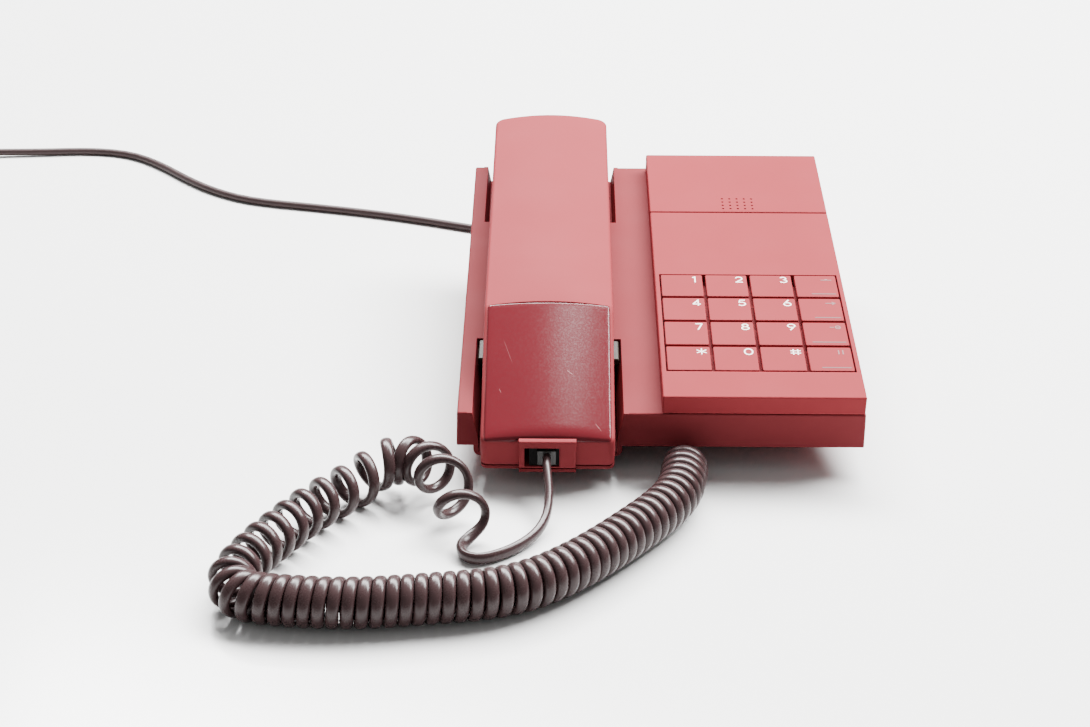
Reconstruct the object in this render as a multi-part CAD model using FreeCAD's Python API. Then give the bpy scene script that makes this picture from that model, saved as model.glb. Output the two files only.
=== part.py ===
import FreeCAD, Part
import math
import os

# Push-button desk telephone with a handset that lies along its left side, in millimetres.
# Most pieces are drawn in the deck frame: X to the right, Y back along the sloping deck, Z out of it,
# with the origin at the middle of the deck's front edge. tilt() then stands them on the table.

# Base housing
RAIL_WIDTH = 6.1
STRIP_WIDTH = 15.5
BASE_DEPTH = 204.6
BASE_SIDE_HEIGHT = 15.85
BASE_DRAFT = 0.5
BASE_WALL = 2.2
BASE_EDGE_RADIUS = 0.8
DECK_TILT = 8.0
DECK_FRONT_HEIGHT = 27.7

# Handset wells
WELL_WIDTH = 61.4
WELL_SLANT = 2.3
WELL_SLANT_DEPTH = 12.7
WELL_WALL = 2.0
WELL_CORNER = 3.0
FRONT_WELL_LENGTH = 54.0
FRONT_WELL_DEPTH = 19.5
REAR_WELL_LENGTH = 53.1
REAR_WELL_DEPTH = 8.0
REST_GAP = 0.3
REST_RIB_WIDTH = 2.0
REST_RIB_SPACING = 36.0
REST_RIB_LENGTH = 24.0
REST_RIB_SETBACK = 6.0

# Keypad panel and ringer cover
PANEL_HEIGHT = 8.6
PANEL_SIDE_MARGIN = 2.0
PANEL_SIDE_INSET = 0.4
PANEL_BACK_INSET = 2.3
PANEL_WALL = 1.5
PANEL_TOP = 2.0
PANEL_EDGE_RADIUS = 0.7
PANEL_SHADOW_GAP = 0.6
RINGER_COVER_LENGTH = 55.2
SEAM_GAP = 0.4
SHELF_THICKNESS = 1.4
TONGUE_THICKNESS = 1.2
TONGUE_DEPTH = 2.0
TONGUE_CLEARANCE = 0.15

# Keys
KEY_NAMES = [
    ["key_star", "key_0", "key_hash", "key_redial"],
    ["key_7", "key_8", "key_9", "key_mute"],
    ["key_4", "key_5", "key_6", "key_store"],
    ["key_1", "key_2", "key_3", "key_flash"],
]
KEY_COLUMNS = len(KEY_NAMES[0])
KEY_ROWS = len(KEY_NAMES)
KEY_PITCH_X = 19.5
KEY_PITCH_Y = 18.67
KEY_GAP = 0.9
KEY_PROUD = 0.2
KEY_CAP_THICKNESS = 2.4
KEY_BEVEL = 0.45
KEY_TRAVEL = 1.5
KEY_CLEARANCE = 0.3
KEY_SKIRT_INSET = 1.5
KEY_SKIRT_WALL = 1.2
KEY_TAB_WIDTH = 8.0
KEY_TAB_REACH = 0.8
KEY_TAB_THICKNESS = 1.0
KEY_GRID_FRONT = 18.0
LATTICE_THICKNESS = 1.4
LATTICE_RIM = 1.5

# Key mat, keypad board and main board
MAT_THICKNESS = 1.0
DOME_HEIGHT = 0.5
DOME_DIAMETER = 8.0
MAT_MARGIN = 0.8
KEY_BOARD_THICKNESS = 1.2
KEY_BOARD_OVERHANG = 12.0
BOARD_POST_DIAMETER = 4.0
BOARD_POST_INSET = 12.0
MAIN_BOARD_THICKNESS = 1.6
MAIN_BOARD_FRONT = 24.0
MAIN_BOARD_SETBACK = 7.9
MAIN_BOARD_MARGIN = 4.0
MAIN_BOARD_CLEARANCE = 0.55
MAIN_POST_DIAMETER = 5.0
MAIN_POST_HEIGHT = 4.6
MAIN_POST_INSET = 8.0
CHIP_SIZE = 9.0
CHIP_HEIGHT = 2.2
CHIP_SPACING = 24.0

# Ringer
RINGER_DIAMETER = 30.0
RINGER_FLANGE = 1.6
RINGER_MAGNET_DIAMETER = 18.0
RINGER_MAGNET_DEPTH = 7.0
RINGER_RING_WALL = 1.6
RINGER_RING_HEIGHT = 2.0
GRILLE_COLUMNS = 5
GRILLE_ROWS = 6
GRILLE_PITCH_X = 3.45
GRILLE_PITCH_Y = 3.1
GRILLE_HOLE_X = 1.7
GRILLE_HOLE_Y = 1.5
GRILLE_FROM_SEAM = 11.0

# Base plate and its screws
PLATE_THICKNESS = 2.0
PLATE_RECESS = 0.2
PLATE_CLEARANCE = 0.25
TROUGH_CLEARANCE = 0.4
BOSS_DIAMETER = 6.4
SCREW_DIAMETER = 2.9
SCREW_LENGTH = 9.0
SCREW_HOLE_CLEARANCE = 0.15
SCREW_HEAD_DIAMETER = 5.4
SCREW_HEAD_HEIGHT = 1.6
SCREW_SLOT_WIDTH = 0.9
SCREW_SLOT_DEPTH = 0.7

# Desk stand and feet
STAND_FRONT_INSET = 24.0
STAND_BACK_INSET = 16.0
STAND_SIDE_INSET = 12.0
STAND_WALL = 2.0
STAND_CORNER = 6.0
STAND_TAB_WIDTH = 9.0
STAND_TAB_SPACING = 70.0
STAND_TAB_CLEARANCE = 0.2
FOOT_DIAMETER = 12.0
FOOT_HEIGHT = 3.0
FOOT_RECESS = 1.0
FOOT_INSET = 12.0
FOOT_CLEARANCE = 0.1
FOOT_BEVEL = 0.6

# Hook flap under the handset, with its switch and return spring
FLAP_LENGTH = 14.0
FLAP_CLEARANCE = 0.5
FLAP_THICKNESS = 3.0
FLAP_TOP_DEPTH = 0.4
FLAP_RISE = 4.0
FLAP_WEB = 1.4
FINGER_WIDTH = 16.0
FINGER_LENGTH = 8.0
FINGER_THICKNESS = 2.0
FINGER_DEPTH = 9.0
SWITCH_WIDTH = 6.5
SWITCH_LENGTH = 5.0
PLUNGER_DIAMETER = 2.4
PLUNGER_HEIGHT = 1.2
PLUNGER_GAP = 0.1
LEAF_WIDTH = 4.0
LEAF_THICKNESS = 0.3
LEAF_FOOT = 4.0

# Handset
HANDSET_SIDE_GAP = 3.7
HANDSET_TOP = 22.0
HANDSET_CROWN = 2.2
HANDSET_FRONT_OVERHANG = 14.0
HANDSET_BACK_OVERHANG = 13.0
HANDSET_WALL = 2.0
HANDSET_TOP_RADIUS = 1.6
HANDSET_BACK_CORNER = 5.0
HANDSET_FRONT_CORNER = 3.0
HANDSET_FRONT_FACE = 11.9
CREASE_SETBACK = 4.6
GRIP_GAP = 1.0
GRIP_FLOOR = 2.0
MOUTH_FLOOR = 1.5
EAR_FLOOR = 1.8
MOUTH_DEPTH = 17.3
EAR_DEPTH = 7.3
CUP_SLOPE = 3.0
MOUTH_CUP_GAP = 2.0
EAR_CUP_GAP = 2.5
EAR_TOE = 10.4
EAR_TOE_RISE = 9.5
PARTING_GAP = 0.15

# Mouth cover, the sloping plate over the near end of the handset
COVER_INSET = 1.4
COVER_EDGE = 0.9
COVER_CROWN = 1.7
COVER_END_GAP = 0.5
COVER_SLIP = 0.05
LEDGE_CROWN = 0.02

# Handset capsules, weight and screws
RECEIVER_DIAMETER = 38.0
RECEIVER_HEIGHT = 9.0
RECEIVER_RIM_HEIGHT = 5.4
RECEIVER_BACK_DIAMETER = 23.0
RECEIVER_FROM_BACK = 34.0
EAR_RING_WALL = 1.4
EAR_RING_HEIGHT = 4.0
EAR_RING_CLEARANCE = 0.2
EAR_HOLE_DIAMETER = 2.2
EAR_HOLE_COUNT = 8
EAR_HOLE_CIRCLE = 14.0
MIC_DIAMETER = 9.7
MIC_HEIGHT = 6.5
MIC_BEVEL = 0.5
MIC_FROM_FRONT = 24.0
MIC_SLOT_WIDTH = 1.4
MIC_SLOT_LENGTH = 8.0
MIC_SLOT_COUNT = 3
MIC_SLOT_PITCH = 3.0
WEIGHT_LENGTH = 56.0
WEIGHT_WIDTH = 20.0
WEIGHT_HEIGHT = 9.0
HANDSET_BOSS_DIAMETER = 6.0
HANDSET_SCREW_INSET = 16.0

# Handset jack and the modular plugs
JACK_BOSS_WIDTH = 22.9
JACK_BOSS_PROUD = 2.2
JACK_BOSS_TOP_DEPTH = 2.3
JACK_OPENING_WIDTH = 12.3
JACK_OPENING_HEIGHT = 9.2
JACK_OPENING_SIDE = 3.9
JACK_OPENING_FLOOR = 1.1
JACK_LENGTH = 13.0
JACK_FIT = 0.15
PLUG_WIDTH = 7.4
PLUG_HEIGHT = 6.6
PLUG_LENGTH = 11.0
PLUG_CLEARANCE = 0.2
PLUG_EXIT_PROUD = 0.2
LATCH_WIDTH = 3.2
LATCH_HEIGHT = 0.9
LATCH_LENGTH = 7.0
PLUG_OFFSET = 1.05
PLUG_FLOOR = 1.2

# Cord socket in the front wall of the stand
BASE_SOCKET_X = 10.5
BASE_SOCKET_WIDTH = 12.0
BASE_SOCKET_HEIGHT = 9.0
BASE_SOCKET_LENGTH = 14.0
BASE_PLUG_OUT = 5.0

# Line cord gland on the back wall of the stand
GLAND_X = -50.0
GLAND_Z = 10.0
GLAND_LENGTH = 20.0
GLAND_DIAMETER = 8.0
GLAND_TIP_DIAMETER = 5.6
GLAND_COLLAR_DIAMETER = 11.0
GLAND_COLLAR = 2.0
GLAND_FIT = 0.05

# Curly handset cord: wire, turns and the line of its axis on the table
WIRE_DIAMETER = 3.4
WIRE_SIDES = 4
CURL_RADIUS = 7.3
LOOSE_CURL_RADIUS = 9.2
CURL_PITCH = 5.4
HAIRPIN_PITCH = 9.6
OPEN_PITCH = 11.0
LOOSE_PITCH = 21.0
LEAD_LENGTH = 17.0
LEAD_RAMP = 11.0
LEAD_PITCH = 9.0
CURL_ARCH = 4.0
TABLE_CLEARANCE = 0.2
TIGHT_CURL_AXIS = [
    (10.5, -81.5), (10.5, -92.0), (10.2, -101.0), (9.4, -110.0), (6.0, -130.0), (-10.6, -157.0),
    (-36.4, -186.0), (-58.0, -201.0), (-87.0, -207.5), (-112.0, -210.5), (-134.0, -210.0),
]
HAIRPIN_AXIS = [(-151.0, -206.5), (-163.5, -198.0), (-167.0, -185.5), (-162.0, -174.0)]
OPEN_CURL_AXIS = [(-154.0, -164.0), (-142.5, -149.5), (-129.0, -132.5), (-117.0, -119.5)]
LOOSE_CURL_AXIS = [
    (-105.5, -112.5), (-95.0, -113.0), (-88.0, -121.5), (-84.5, -135.0), (-79.5, -152.0), (-70.5, -168.0),
]

# Plain tail of the handset cord, from the plug down to the table and on to the first curl
TAIL_EXIT_RUN = 4.4
TAIL_POINTS = [
    (-45.9, -123.2, 11.6), (-46.0, -126.2, 7.4), (-46.6, -130.2, 3.8),
    (-47.8, -137.2, 2.4), (-50.6, -147.4, 2.0), (-55.2, -157.0, 1.9),
]

# Line cord on the table, and the coil of its spare length past the left of the telephone
LINE_DIAMETER = 4.0
LINE_SIDES = 4
LINE_EXIT_RUN = 8.0
LINE_POINTS = [
    (-50.8, 125.4, 8.2), (-54.2, 134.0, 4.4), (-61.5, 142.5, 2.4), (-73.0, 149.0, 2.1),
    (-89.0, 155.0, 2.1), (-113.0, 164.5, 2.1), (-141.0, 174.0, 2.1), (-176.0, 183.0, 2.1),
    (-207.0, 190.0, 2.1), (-228.0, 202.0, 2.1), (-247.0, 219.5, 2.1), (-268.0, 244.5, 2.1),
    (-288.0, 261.5, 2.1), (-312.0, 266.5, 2.1), (-340.0, 263.5, 2.3), (-373.0, 261.0, 2.9),
]
LOOP_CENTRE = (-402.0, 229.0)
LOOP_OUTER_RADIUS = 31.0
LOOP_STEP = 4.5
LOOP_TURNS_PER_LAYER = 3.0
LOOP_LAST_TURNS = 1.5
LOOP_LAYER_STEP = 4.5
LOOP_FIRST_HEIGHT = 3.7
LOOP_END_RISE = 1.6
LOOP_END_RUN = 10.0
TIE_WIDTH = 7.0
TIE_THICKNESS = 1.2
TIE_CLEARANCE = 0.35
LINE_PLUG_WIDTH = 9.6
LINE_PLUG_HEIGHT = 6.6
LINE_PLUG_LENGTH = 13.0

# How far a cut runs past the face that it opens
OVER = 1.0

# Places worked out from the sizes above
PANEL_WIDTH = KEY_COLUMNS * KEY_PITCH_X + 2 * PANEL_SIDE_MARGIN
BASE_WIDTH = RAIL_WIDTH + WELL_WIDTH + STRIP_WIDTH + PANEL_WIDTH + PANEL_SIDE_INSET
BASE_LEFT = -BASE_WIDTH / 2
WELL_X = BASE_LEFT + RAIL_WIDTH + WELL_WIDTH / 2
PANEL_LEFT = BASE_LEFT + RAIL_WIDTH + WELL_WIDTH + STRIP_WIDTH
PANEL_RIGHT = PANEL_LEFT + PANEL_WIDTH
STRIP_MIDDLE = PANEL_LEFT - STRIP_WIDTH / 2
PANEL_BACK = BASE_DEPTH - PANEL_BACK_INSET
SEAM_Y = PANEL_BACK - RINGER_COVER_LENGTH
REAR_WELL_FRONT = BASE_DEPTH - REAR_WELL_LENGTH
GRID_LEFT = PANEL_LEFT + PANEL_SIDE_MARGIN
GRID_RIGHT = GRID_LEFT + KEY_COLUMNS * KEY_PITCH_X
GRID_BACK = KEY_GRID_FRONT + KEY_ROWS * KEY_PITCH_Y
KEY_TOP = PANEL_HEIGHT + KEY_PROUD
CAP_BOTTOM = KEY_TOP - KEY_CAP_THICKNESS
LATTICE_TOP = CAP_BOTTOM - KEY_TRAVEL - KEY_CLEARANCE
LATTICE_BOTTOM = LATTICE_TOP - LATTICE_THICKNESS
KEY_BOTTOM = LATTICE_BOTTOM - KEY_CLEARANCE - KEY_TAB_THICKNESS
DOME_TOP = KEY_BOTTOM - KEY_TRAVEL - KEY_CLEARANCE
MAT_BOTTOM = DOME_TOP - DOME_HEIGHT - MAT_THICKNESS
KEY_BOARD_BOTTOM = MAT_BOTTOM - KEY_BOARD_THICKNESS
PLATE_BOTTOM = -BASE_SIDE_HEIGHT + PLATE_RECESS
PLATE_TOP = PLATE_BOTTOM + PLATE_THICKNESS
MAIN_BOARD_BOTTOM = PLATE_TOP + MAIN_POST_HEIGHT
HANDSET_WIDTH = WELL_WIDTH - 2 * HANDSET_SIDE_GAP
HANDSET_HALF = HANDSET_WIDTH / 2
HANDSET_FRONT = -HANDSET_FRONT_OVERHANG
HANDSET_BACK = BASE_DEPTH + HANDSET_BACK_OVERHANG
CREASE_Y = FRONT_WELL_LENGTH - CREASE_SETBACK
EDGE_TOP = HANDSET_TOP - HANDSET_CROWN
MOUTH_PARTING = MOUTH_FLOOR - MOUTH_DEPTH
EAR_PARTING = EAR_FLOOR - EAR_DEPTH
GRIP_PARTING = GRIP_GAP + GRIP_FLOOR
FRONT_TOP = MOUTH_PARTING + HANDSET_FRONT_FACE
FLAP_BACK = FRONT_WELL_LENGTH - FLAP_CLEARANCE
FLAP_FRONT = FLAP_BACK - FLAP_LENGTH
MOUTH_CUP_BACK = FLAP_FRONT - MOUTH_CUP_GAP - CUP_SLOPE
EAR_CUP_FRONT = REAR_WELL_FRONT + EAR_CUP_GAP + CUP_SLOPE
JACK_LEFT = WELL_X - JACK_BOSS_WIDTH / 2 + JACK_OPENING_SIDE
JACK_RIGHT = JACK_LEFT + JACK_OPENING_WIDTH
JACK_BOTTOM = MOUTH_PARTING + JACK_OPENING_FLOOR
JACK_TOP = JACK_BOTTOM + JACK_OPENING_HEIGHT
JACK_FACE = HANDSET_FRONT - JACK_BOSS_PROUD
PLUG_X = (JACK_LEFT + JACK_RIGHT) / 2 + PLUG_OFFSET
PLUG_Z = JACK_BOTTOM + PLUG_FLOOR + PLUG_HEIGHT / 2
TILT_COS = math.cos(math.radians(DECK_TILT))
TILT_SIN = math.sin(math.radians(DECK_TILT))
FRONT_REACH = (HANDSET_FRONT_OVERHANG + JACK_BOSS_PROUD) * TILT_COS - JACK_BOSS_TOP_DEPTH * TILT_SIN
BACK_REACH = HANDSET_BACK * TILT_COS - (GRIP_GAP + EAR_TOE_RISE - EAR_DEPTH) * TILT_SIN
DECK_FRONT_Y = (FRONT_REACH - BACK_REACH) / 2
STAND_BOTTOM = FOOT_HEIGHT - FOOT_RECESS
STAND_FLOOR_TOP = STAND_BOTTOM + STAND_WALL
STAND_FRONT = DECK_FRONT_Y + STAND_FRONT_INSET
STAND_BACK = DECK_FRONT_Y + BASE_DEPTH * TILT_COS - STAND_BACK_INSET
STAND_HALF = BASE_WIDTH / 2 - STAND_SIDE_INSET
BASE_PLUG_Z = STAND_FLOOR_TOP + BASE_SOCKET_HEIGHT / 2

os.makedirs("parts", exist_ok=True)
VECTOR = FreeCAD.Vector


def save(name, shape):
    """Write one finished piece to its own file."""
    if not shape.isValid():
        raise RuntimeError(name + " is not a valid solid")
    shape.exportStep("parts/" + name + ".step")


def tilt(shape):
    """Stand a deck-frame piece on the table, its deck sloping up to the back."""
    tilted = shape.copy()
    tilted.rotate(VECTOR(0, 0, 0), VECTOR(1, 0, 0), DECK_TILT)
    tilted.translate(VECTOR(0, DECK_FRONT_Y, DECK_FRONT_HEIGHT))
    return tilted


def deck_to_table(x, y, z):
    """Table-frame place of a deck-frame point."""
    return (x, DECK_FRONT_Y + y * TILT_COS - z * TILT_SIN, DECK_FRONT_HEIGHT + y * TILT_SIN + z * TILT_COS)


def block(x0, x1, y0, y1, z0, z1):
    """Box between two corners."""
    return Part.makeBox(x1 - x0, y1 - y0, z1 - z0, VECTOR(x0, y0, z0))


def cylinder(x, y, z0, z1, diameter):
    """Upright round bar."""
    return Part.makeCylinder(diameter / 2, z1 - z0, VECTOR(x, y, z0))


def closed_wire(points):
    """Closed polygon through points."""
    vectors = [VECTOR(*p) for p in points]
    return Part.makePolygon(vectors + vectors[:1])


def profile_across(points, x0, x1):
    """Solid with a side outline of (y, z) points, as wide as x0 to x1."""
    face = Part.Face(closed_wire([(x0, y, z) for y, z in points]))
    return face.extrude(VECTOR(x1 - x0, 0, 0))


def profile_along(points, y0, y1):
    """Solid with a front outline of (x, z) points, as long as y0 to y1."""
    face = Part.Face(closed_wire([(x, y0, z) for x, z in points]))
    return face.extrude(VECTOR(0, y1 - y0, 0))


def upright_edges(shape):
    """Edges that run along Z."""
    found = []
    for edge in shape.Edges:
        first, last = edge.Vertexes[0].Point, edge.Vertexes[-1].Point
        if abs(first.x - last.x) < 1e-6 and abs(first.y - last.y) < 1e-6:
            found.append(edge)
    return found


def edges_at_height(shape, z):
    """Edges that lie wholly at one height."""
    return [e for e in shape.Edges if abs(e.BoundBox.ZMin - z) < 1e-6 and abs(e.BoundBox.ZMax - z) < 1e-6]


def soft_block(x0, x1, y0, y1, z0, z1, radius):
    """Box with its upright edges and its top rim rounded."""
    box = block(x0, x1, y0, y1, z0, z1)
    return box.makeFillet(radius, upright_edges(box) + edges_at_height(box, z1))


def bevelled_block(x0, x1, y0, y1, z0, z1, bevel):
    """Box with a bevel round its top rim."""
    box = block(x0, x1, y0, y1, z0, z1)
    return box.makeChamfer(bevel, edges_at_height(box, z1))


def eight_sided_post(x, y, z0, z1, diameter):
    """Upright eight-sided bar."""
    corners = [math.pi / 8 + step * math.pi / 4 for step in range(8)]
    wire = closed_wire([(x + diameter / 2 * math.cos(a), y + diameter / 2 * math.sin(a), z0) for a in corners])
    return Part.Face(wire).extrude(VECTOR(0, 0, z1 - z0))


def well_section(half_width, slant, slant_depth, depth):
    """Front outline of a well: slanted upper walls, straight lower walls and a flat floor."""
    low = half_width - slant * min(depth, slant_depth) / slant_depth
    turn = -min(depth, slant_depth)
    outline = [(WELL_X - half_width, 0), (WELL_X - low, turn)]
    if depth > slant_depth:
        outline += [(WELL_X - low, -depth), (WELL_X + low, -depth)]
    return outline + [(WELL_X + low, turn), (WELL_X + half_width, 0)]


def well_solid(y0, y1, depth, grow, over):
    """Well or, grown by its wall, the trough round it; over lifts its top above the deck."""
    outline = well_section(WELL_WIDTH / 2 + grow, WELL_SLANT, WELL_SLANT_DEPTH, depth + grow)
    solid = profile_along(outline, y0, y1)
    if over > 0:
        half = WELL_WIDTH / 2 + grow
        solid = solid.fuse(block(WELL_X - half, WELL_X + half, y0, y1, 0, over)).removeSplitter()
    return solid


def trough(y0, y1, depth):
    """Outside of a well's moulded trough, with its lower edges rounded."""
    solid = well_solid(y0, y1, depth, WELL_WALL, 0)
    low_edges = edges_at_height(solid, -depth - WELL_WALL)
    return solid.makeFillet(WELL_CORNER, [e for e in low_edges if e.BoundBox.YLength > 1])


def rest_ribs(y0, floor, top):
    """Two ribs on a well floor that the handset lies on."""
    ribs = []
    for side in (-0.5, 0.5):
        x = WELL_X + side * REST_RIB_SPACING
        ribs.append(block(x - REST_RIB_WIDTH / 2, x + REST_RIB_WIDTH / 2, y0, y0 + REST_RIB_LENGTH, floor, top))
    return ribs


def screw_places():
    """Deck-frame places of the base screws: beside the wells, on the strip and under the seam rib."""
    return [
        (WELL_X - HANDSET_HALF / 2, (FRONT_WELL_LENGTH + REAR_WELL_FRONT) / 2),
        (STRIP_MIDDLE, KEY_GRID_FRONT - BOSS_DIAMETER / 2),
        (STRIP_MIDDLE, PANEL_BACK - BOSS_DIAMETER * 2),
        ((PANEL_LEFT + PANEL_RIGHT) / 2, SEAM_Y),
    ]


def stand_tab_places():
    """Deck-frame places of the stand's tabs along its two side walls."""
    middle = (STAND_FRONT_INSET + BASE_DEPTH - STAND_BACK_INSET) / 2
    edge = STAND_HALF - STAND_WALL / 2
    return [(x, middle + y * STAND_TAB_SPACING) for x in (-edge, edge) for y in (-0.5, 0.5)]


def base_housing():
    """Upper housing: sloping deck, skirt, two handset wells, panel openings and screw bosses."""
    half = BASE_WIDTH / 2
    low = half + BASE_DRAFT
    top = closed_wire([(-half, 0, 0), (half, 0, 0), (half, BASE_DEPTH, 0), (-half, BASE_DEPTH, 0)])
    back_low = BASE_DEPTH + BASE_DRAFT
    bottom = closed_wire([
        (-low, -BASE_DRAFT, -BASE_SIDE_HEIGHT), (low, -BASE_DRAFT, -BASE_SIDE_HEIGHT),
        (low, back_low, -BASE_SIDE_HEIGHT), (-low, back_low, -BASE_SIDE_HEIGHT),
    ])
    outer = Part.makeLoft([top, bottom], True, True)
    rim = [e for e in outer.Edges if e.BoundBox.ZMax > -1e-6]
    outer = outer.makeFillet(BASE_EDGE_RADIUS, rim)
    inside = block(BASE_LEFT + BASE_WALL, half - BASE_WALL, BASE_WALL, BASE_DEPTH - BASE_WALL,
                   -BASE_SIDE_HEIGHT - OVER, -BASE_WALL)
    shell = outer.cut(inside)
    shell = shell.fuse([
        trough(0, FRONT_WELL_LENGTH + WELL_WALL, FRONT_WELL_DEPTH),
        trough(REAR_WELL_FRONT - WELL_WALL, BASE_DEPTH, REAR_WELL_DEPTH),
    ])
    front_well = well_solid(-BASE_DEPTH, FRONT_WELL_LENGTH, FRONT_WELL_DEPTH, 0, OVER)
    rear_well = well_solid(REAR_WELL_FRONT, 2 * BASE_DEPTH, REAR_WELL_DEPTH, 0, OVER)
    openings = [
        block(PANEL_LEFT + PANEL_WALL, PANEL_RIGHT - PANEL_WALL, PANEL_WALL, SEAM_Y - PANEL_WALL - SEAM_GAP / 2,
              -BASE_WALL - OVER, OVER),
        block(PANEL_LEFT + PANEL_WALL, PANEL_RIGHT - PANEL_WALL, SEAM_Y + PANEL_WALL + SEAM_GAP / 2,
              PANEL_BACK - PANEL_WALL, -BASE_WALL - OVER, OVER),
    ]
    finger_low = FLAP_TOP_DEPTH + FINGER_DEPTH + FLAP_CLEARANCE
    finger_high = finger_low - FINGER_THICKNESS - FLAP_RISE - 2 * FLAP_CLEARANCE
    half_slot = FINGER_WIDTH / 2 + FLAP_CLEARANCE
    slot = block(WELL_X - half_slot, WELL_X + half_slot, FRONT_WELL_LENGTH - OVER,
                 FRONT_WELL_LENGTH + WELL_WALL + OVER, -finger_low, -finger_high)
    shell = shell.cut([front_well, rear_well, slot] + openings)
    bosses = [cylinder(x, y, PLATE_TOP, -BASE_WALL, BOSS_DIAMETER) for x, y in screw_places()]
    shell = shell.fuse(bosses)
    shell = shell.fuse(rest_ribs(REST_RIB_SETBACK, -FRONT_WELL_DEPTH, -MOUTH_DEPTH - REST_GAP))
    shell = shell.fuse(rest_ribs(EAR_CUP_FRONT + REST_RIB_SETBACK, -REAR_WELL_DEPTH, -EAR_DEPTH - REST_GAP))
    pilot_top = PLATE_TOP + SCREW_LENGTH
    pilots = [cylinder(x, y, PLATE_TOP - OVER, pilot_top, SCREW_DIAMETER) for x, y in screw_places()]
    return shell.cut(pilots).removeSplitter()


def base_plate():
    """Flat bottom cover inside the skirt, with the trough's cut-out, screw holes and board posts."""
    edge = BASE_WALL + PLATE_CLEARANCE
    plate = block(BASE_LEFT + edge, -BASE_LEFT - edge, edge, BASE_DEPTH - edge, PLATE_BOTTOM, PLATE_TOP)
    half = WELL_WIDTH / 2 + WELL_WALL - WELL_SLANT + TROUGH_CLEARANCE
    cuts = [block(WELL_X - half, WELL_X + half, -1, FRONT_WELL_LENGTH + WELL_WALL + TROUGH_CLEARANCE,
                  PLATE_BOTTOM - OVER, PLATE_TOP + OVER)]
    hole = SCREW_DIAMETER + 2 * SCREW_HOLE_CLEARANCE
    for x, y in screw_places():
        cuts.append(cylinder(x, y, PLATE_BOTTOM - OVER, PLATE_TOP + OVER, hole))
    gap = STAND_TAB_CLEARANCE
    for x, y in stand_tab_places():
        cuts.append(block(x - STAND_WALL / 2 - gap, x + STAND_WALL / 2 + gap, y - STAND_TAB_WIDTH / 2 - gap,
                          y + STAND_TAB_WIDTH / 2 + gap, PLATE_BOTTOM - OVER, PLATE_TOP + OVER))
    posts = [cylinder(x, y, PLATE_TOP, MAIN_BOARD_BOTTOM, MAIN_POST_DIAMETER) for x, y in main_post_places()]
    return plate.cut(cuts).fuse(posts).removeSplitter()


def main_board_edges():
    """Left, right, front and back of the main board."""
    left = STRIP_MIDDLE + BOSS_DIAMETER / 2 + MAIN_BOARD_CLEARANCE
    right = PANEL_RIGHT - MAIN_BOARD_MARGIN
    return left, right, MAIN_BOARD_FRONT, SEAM_Y - BOSS_DIAMETER / 2 - MAIN_BOARD_SETBACK


def main_post_places():
    """Deck-frame places of the posts under the main board's corners."""
    left, right, front, back = main_board_edges()
    inset = MAIN_POST_INSET
    return [(x, y) for x in (left + inset, right - inset) for y in (front + inset, back - inset)]


def main_board():
    """Circuit board on its posts, with a row of chips on its top."""
    left, right, front, back = main_board_edges()
    top = MAIN_BOARD_BOTTOM + MAIN_BOARD_THICKNESS
    board = block(left, right, front, back, MAIN_BOARD_BOTTOM, top)
    middle_x = (left + right) / 2
    middle_y = (front + back) / 2
    chips = []
    for step in (-1, 0, 1):
        y = middle_y + step * CHIP_SPACING
        chips.append(block(middle_x - CHIP_SIZE, middle_x + CHIP_SIZE, y - CHIP_SIZE / 2, y + CHIP_SIZE / 2,
                           top, top + CHIP_HEIGHT))
    return board.fuse(chips).removeSplitter()


def cover_shell(y0, y1):
    """Raised cover on the deck: rounded top, thin walls, and a tongue that locates it in its opening."""
    x0, x1 = PANEL_LEFT, PANEL_RIGHT
    wall = PANEL_WALL
    shell = soft_block(x0, x1, y0, y1, PANEL_SHADOW_GAP, PANEL_HEIGHT, PANEL_EDGE_RADIUS)
    under_top = PANEL_HEIGHT - PANEL_TOP
    shell = shell.cut(block(x0 + wall, x1 - wall, y0 + wall, y1 - wall, PANEL_SHADOW_GAP - OVER, under_top))
    out = wall + TONGUE_CLEARANCE
    inner = out + TONGUE_THICKNESS
    shelf = block(x0 + wall, x1 - wall, y0 + wall, y1 - wall, PANEL_SHADOW_GAP, PANEL_SHADOW_GAP + SHELF_THICKNESS)
    tongue = block(x0 + out, x1 - out, y0 + out, y1 - out, -TONGUE_DEPTH, PANEL_SHADOW_GAP)
    hollow = block(x0 + inner, x1 - inner, y0 + inner, y1 - inner, -TONGUE_DEPTH - OVER, under_top)
    return shell.fuse([shelf.cut(hollow), tongue.cut(hollow)]).removeSplitter()


def key_cell(column, row):
    """Left and front of one key's place in the grid."""
    return GRID_LEFT + column * KEY_PITCH_X, KEY_GRID_FRONT + row * KEY_PITCH_Y


def key_skirt(column, row, grow):
    """Outline of the key's skirt under its cap, grown for the hole that it slides in."""
    x, y = key_cell(column, row)
    inset = KEY_GAP / 2 + KEY_SKIRT_INSET - grow
    return x + inset, x + KEY_PITCH_X - inset, y + inset, y + KEY_PITCH_Y - inset


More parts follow.
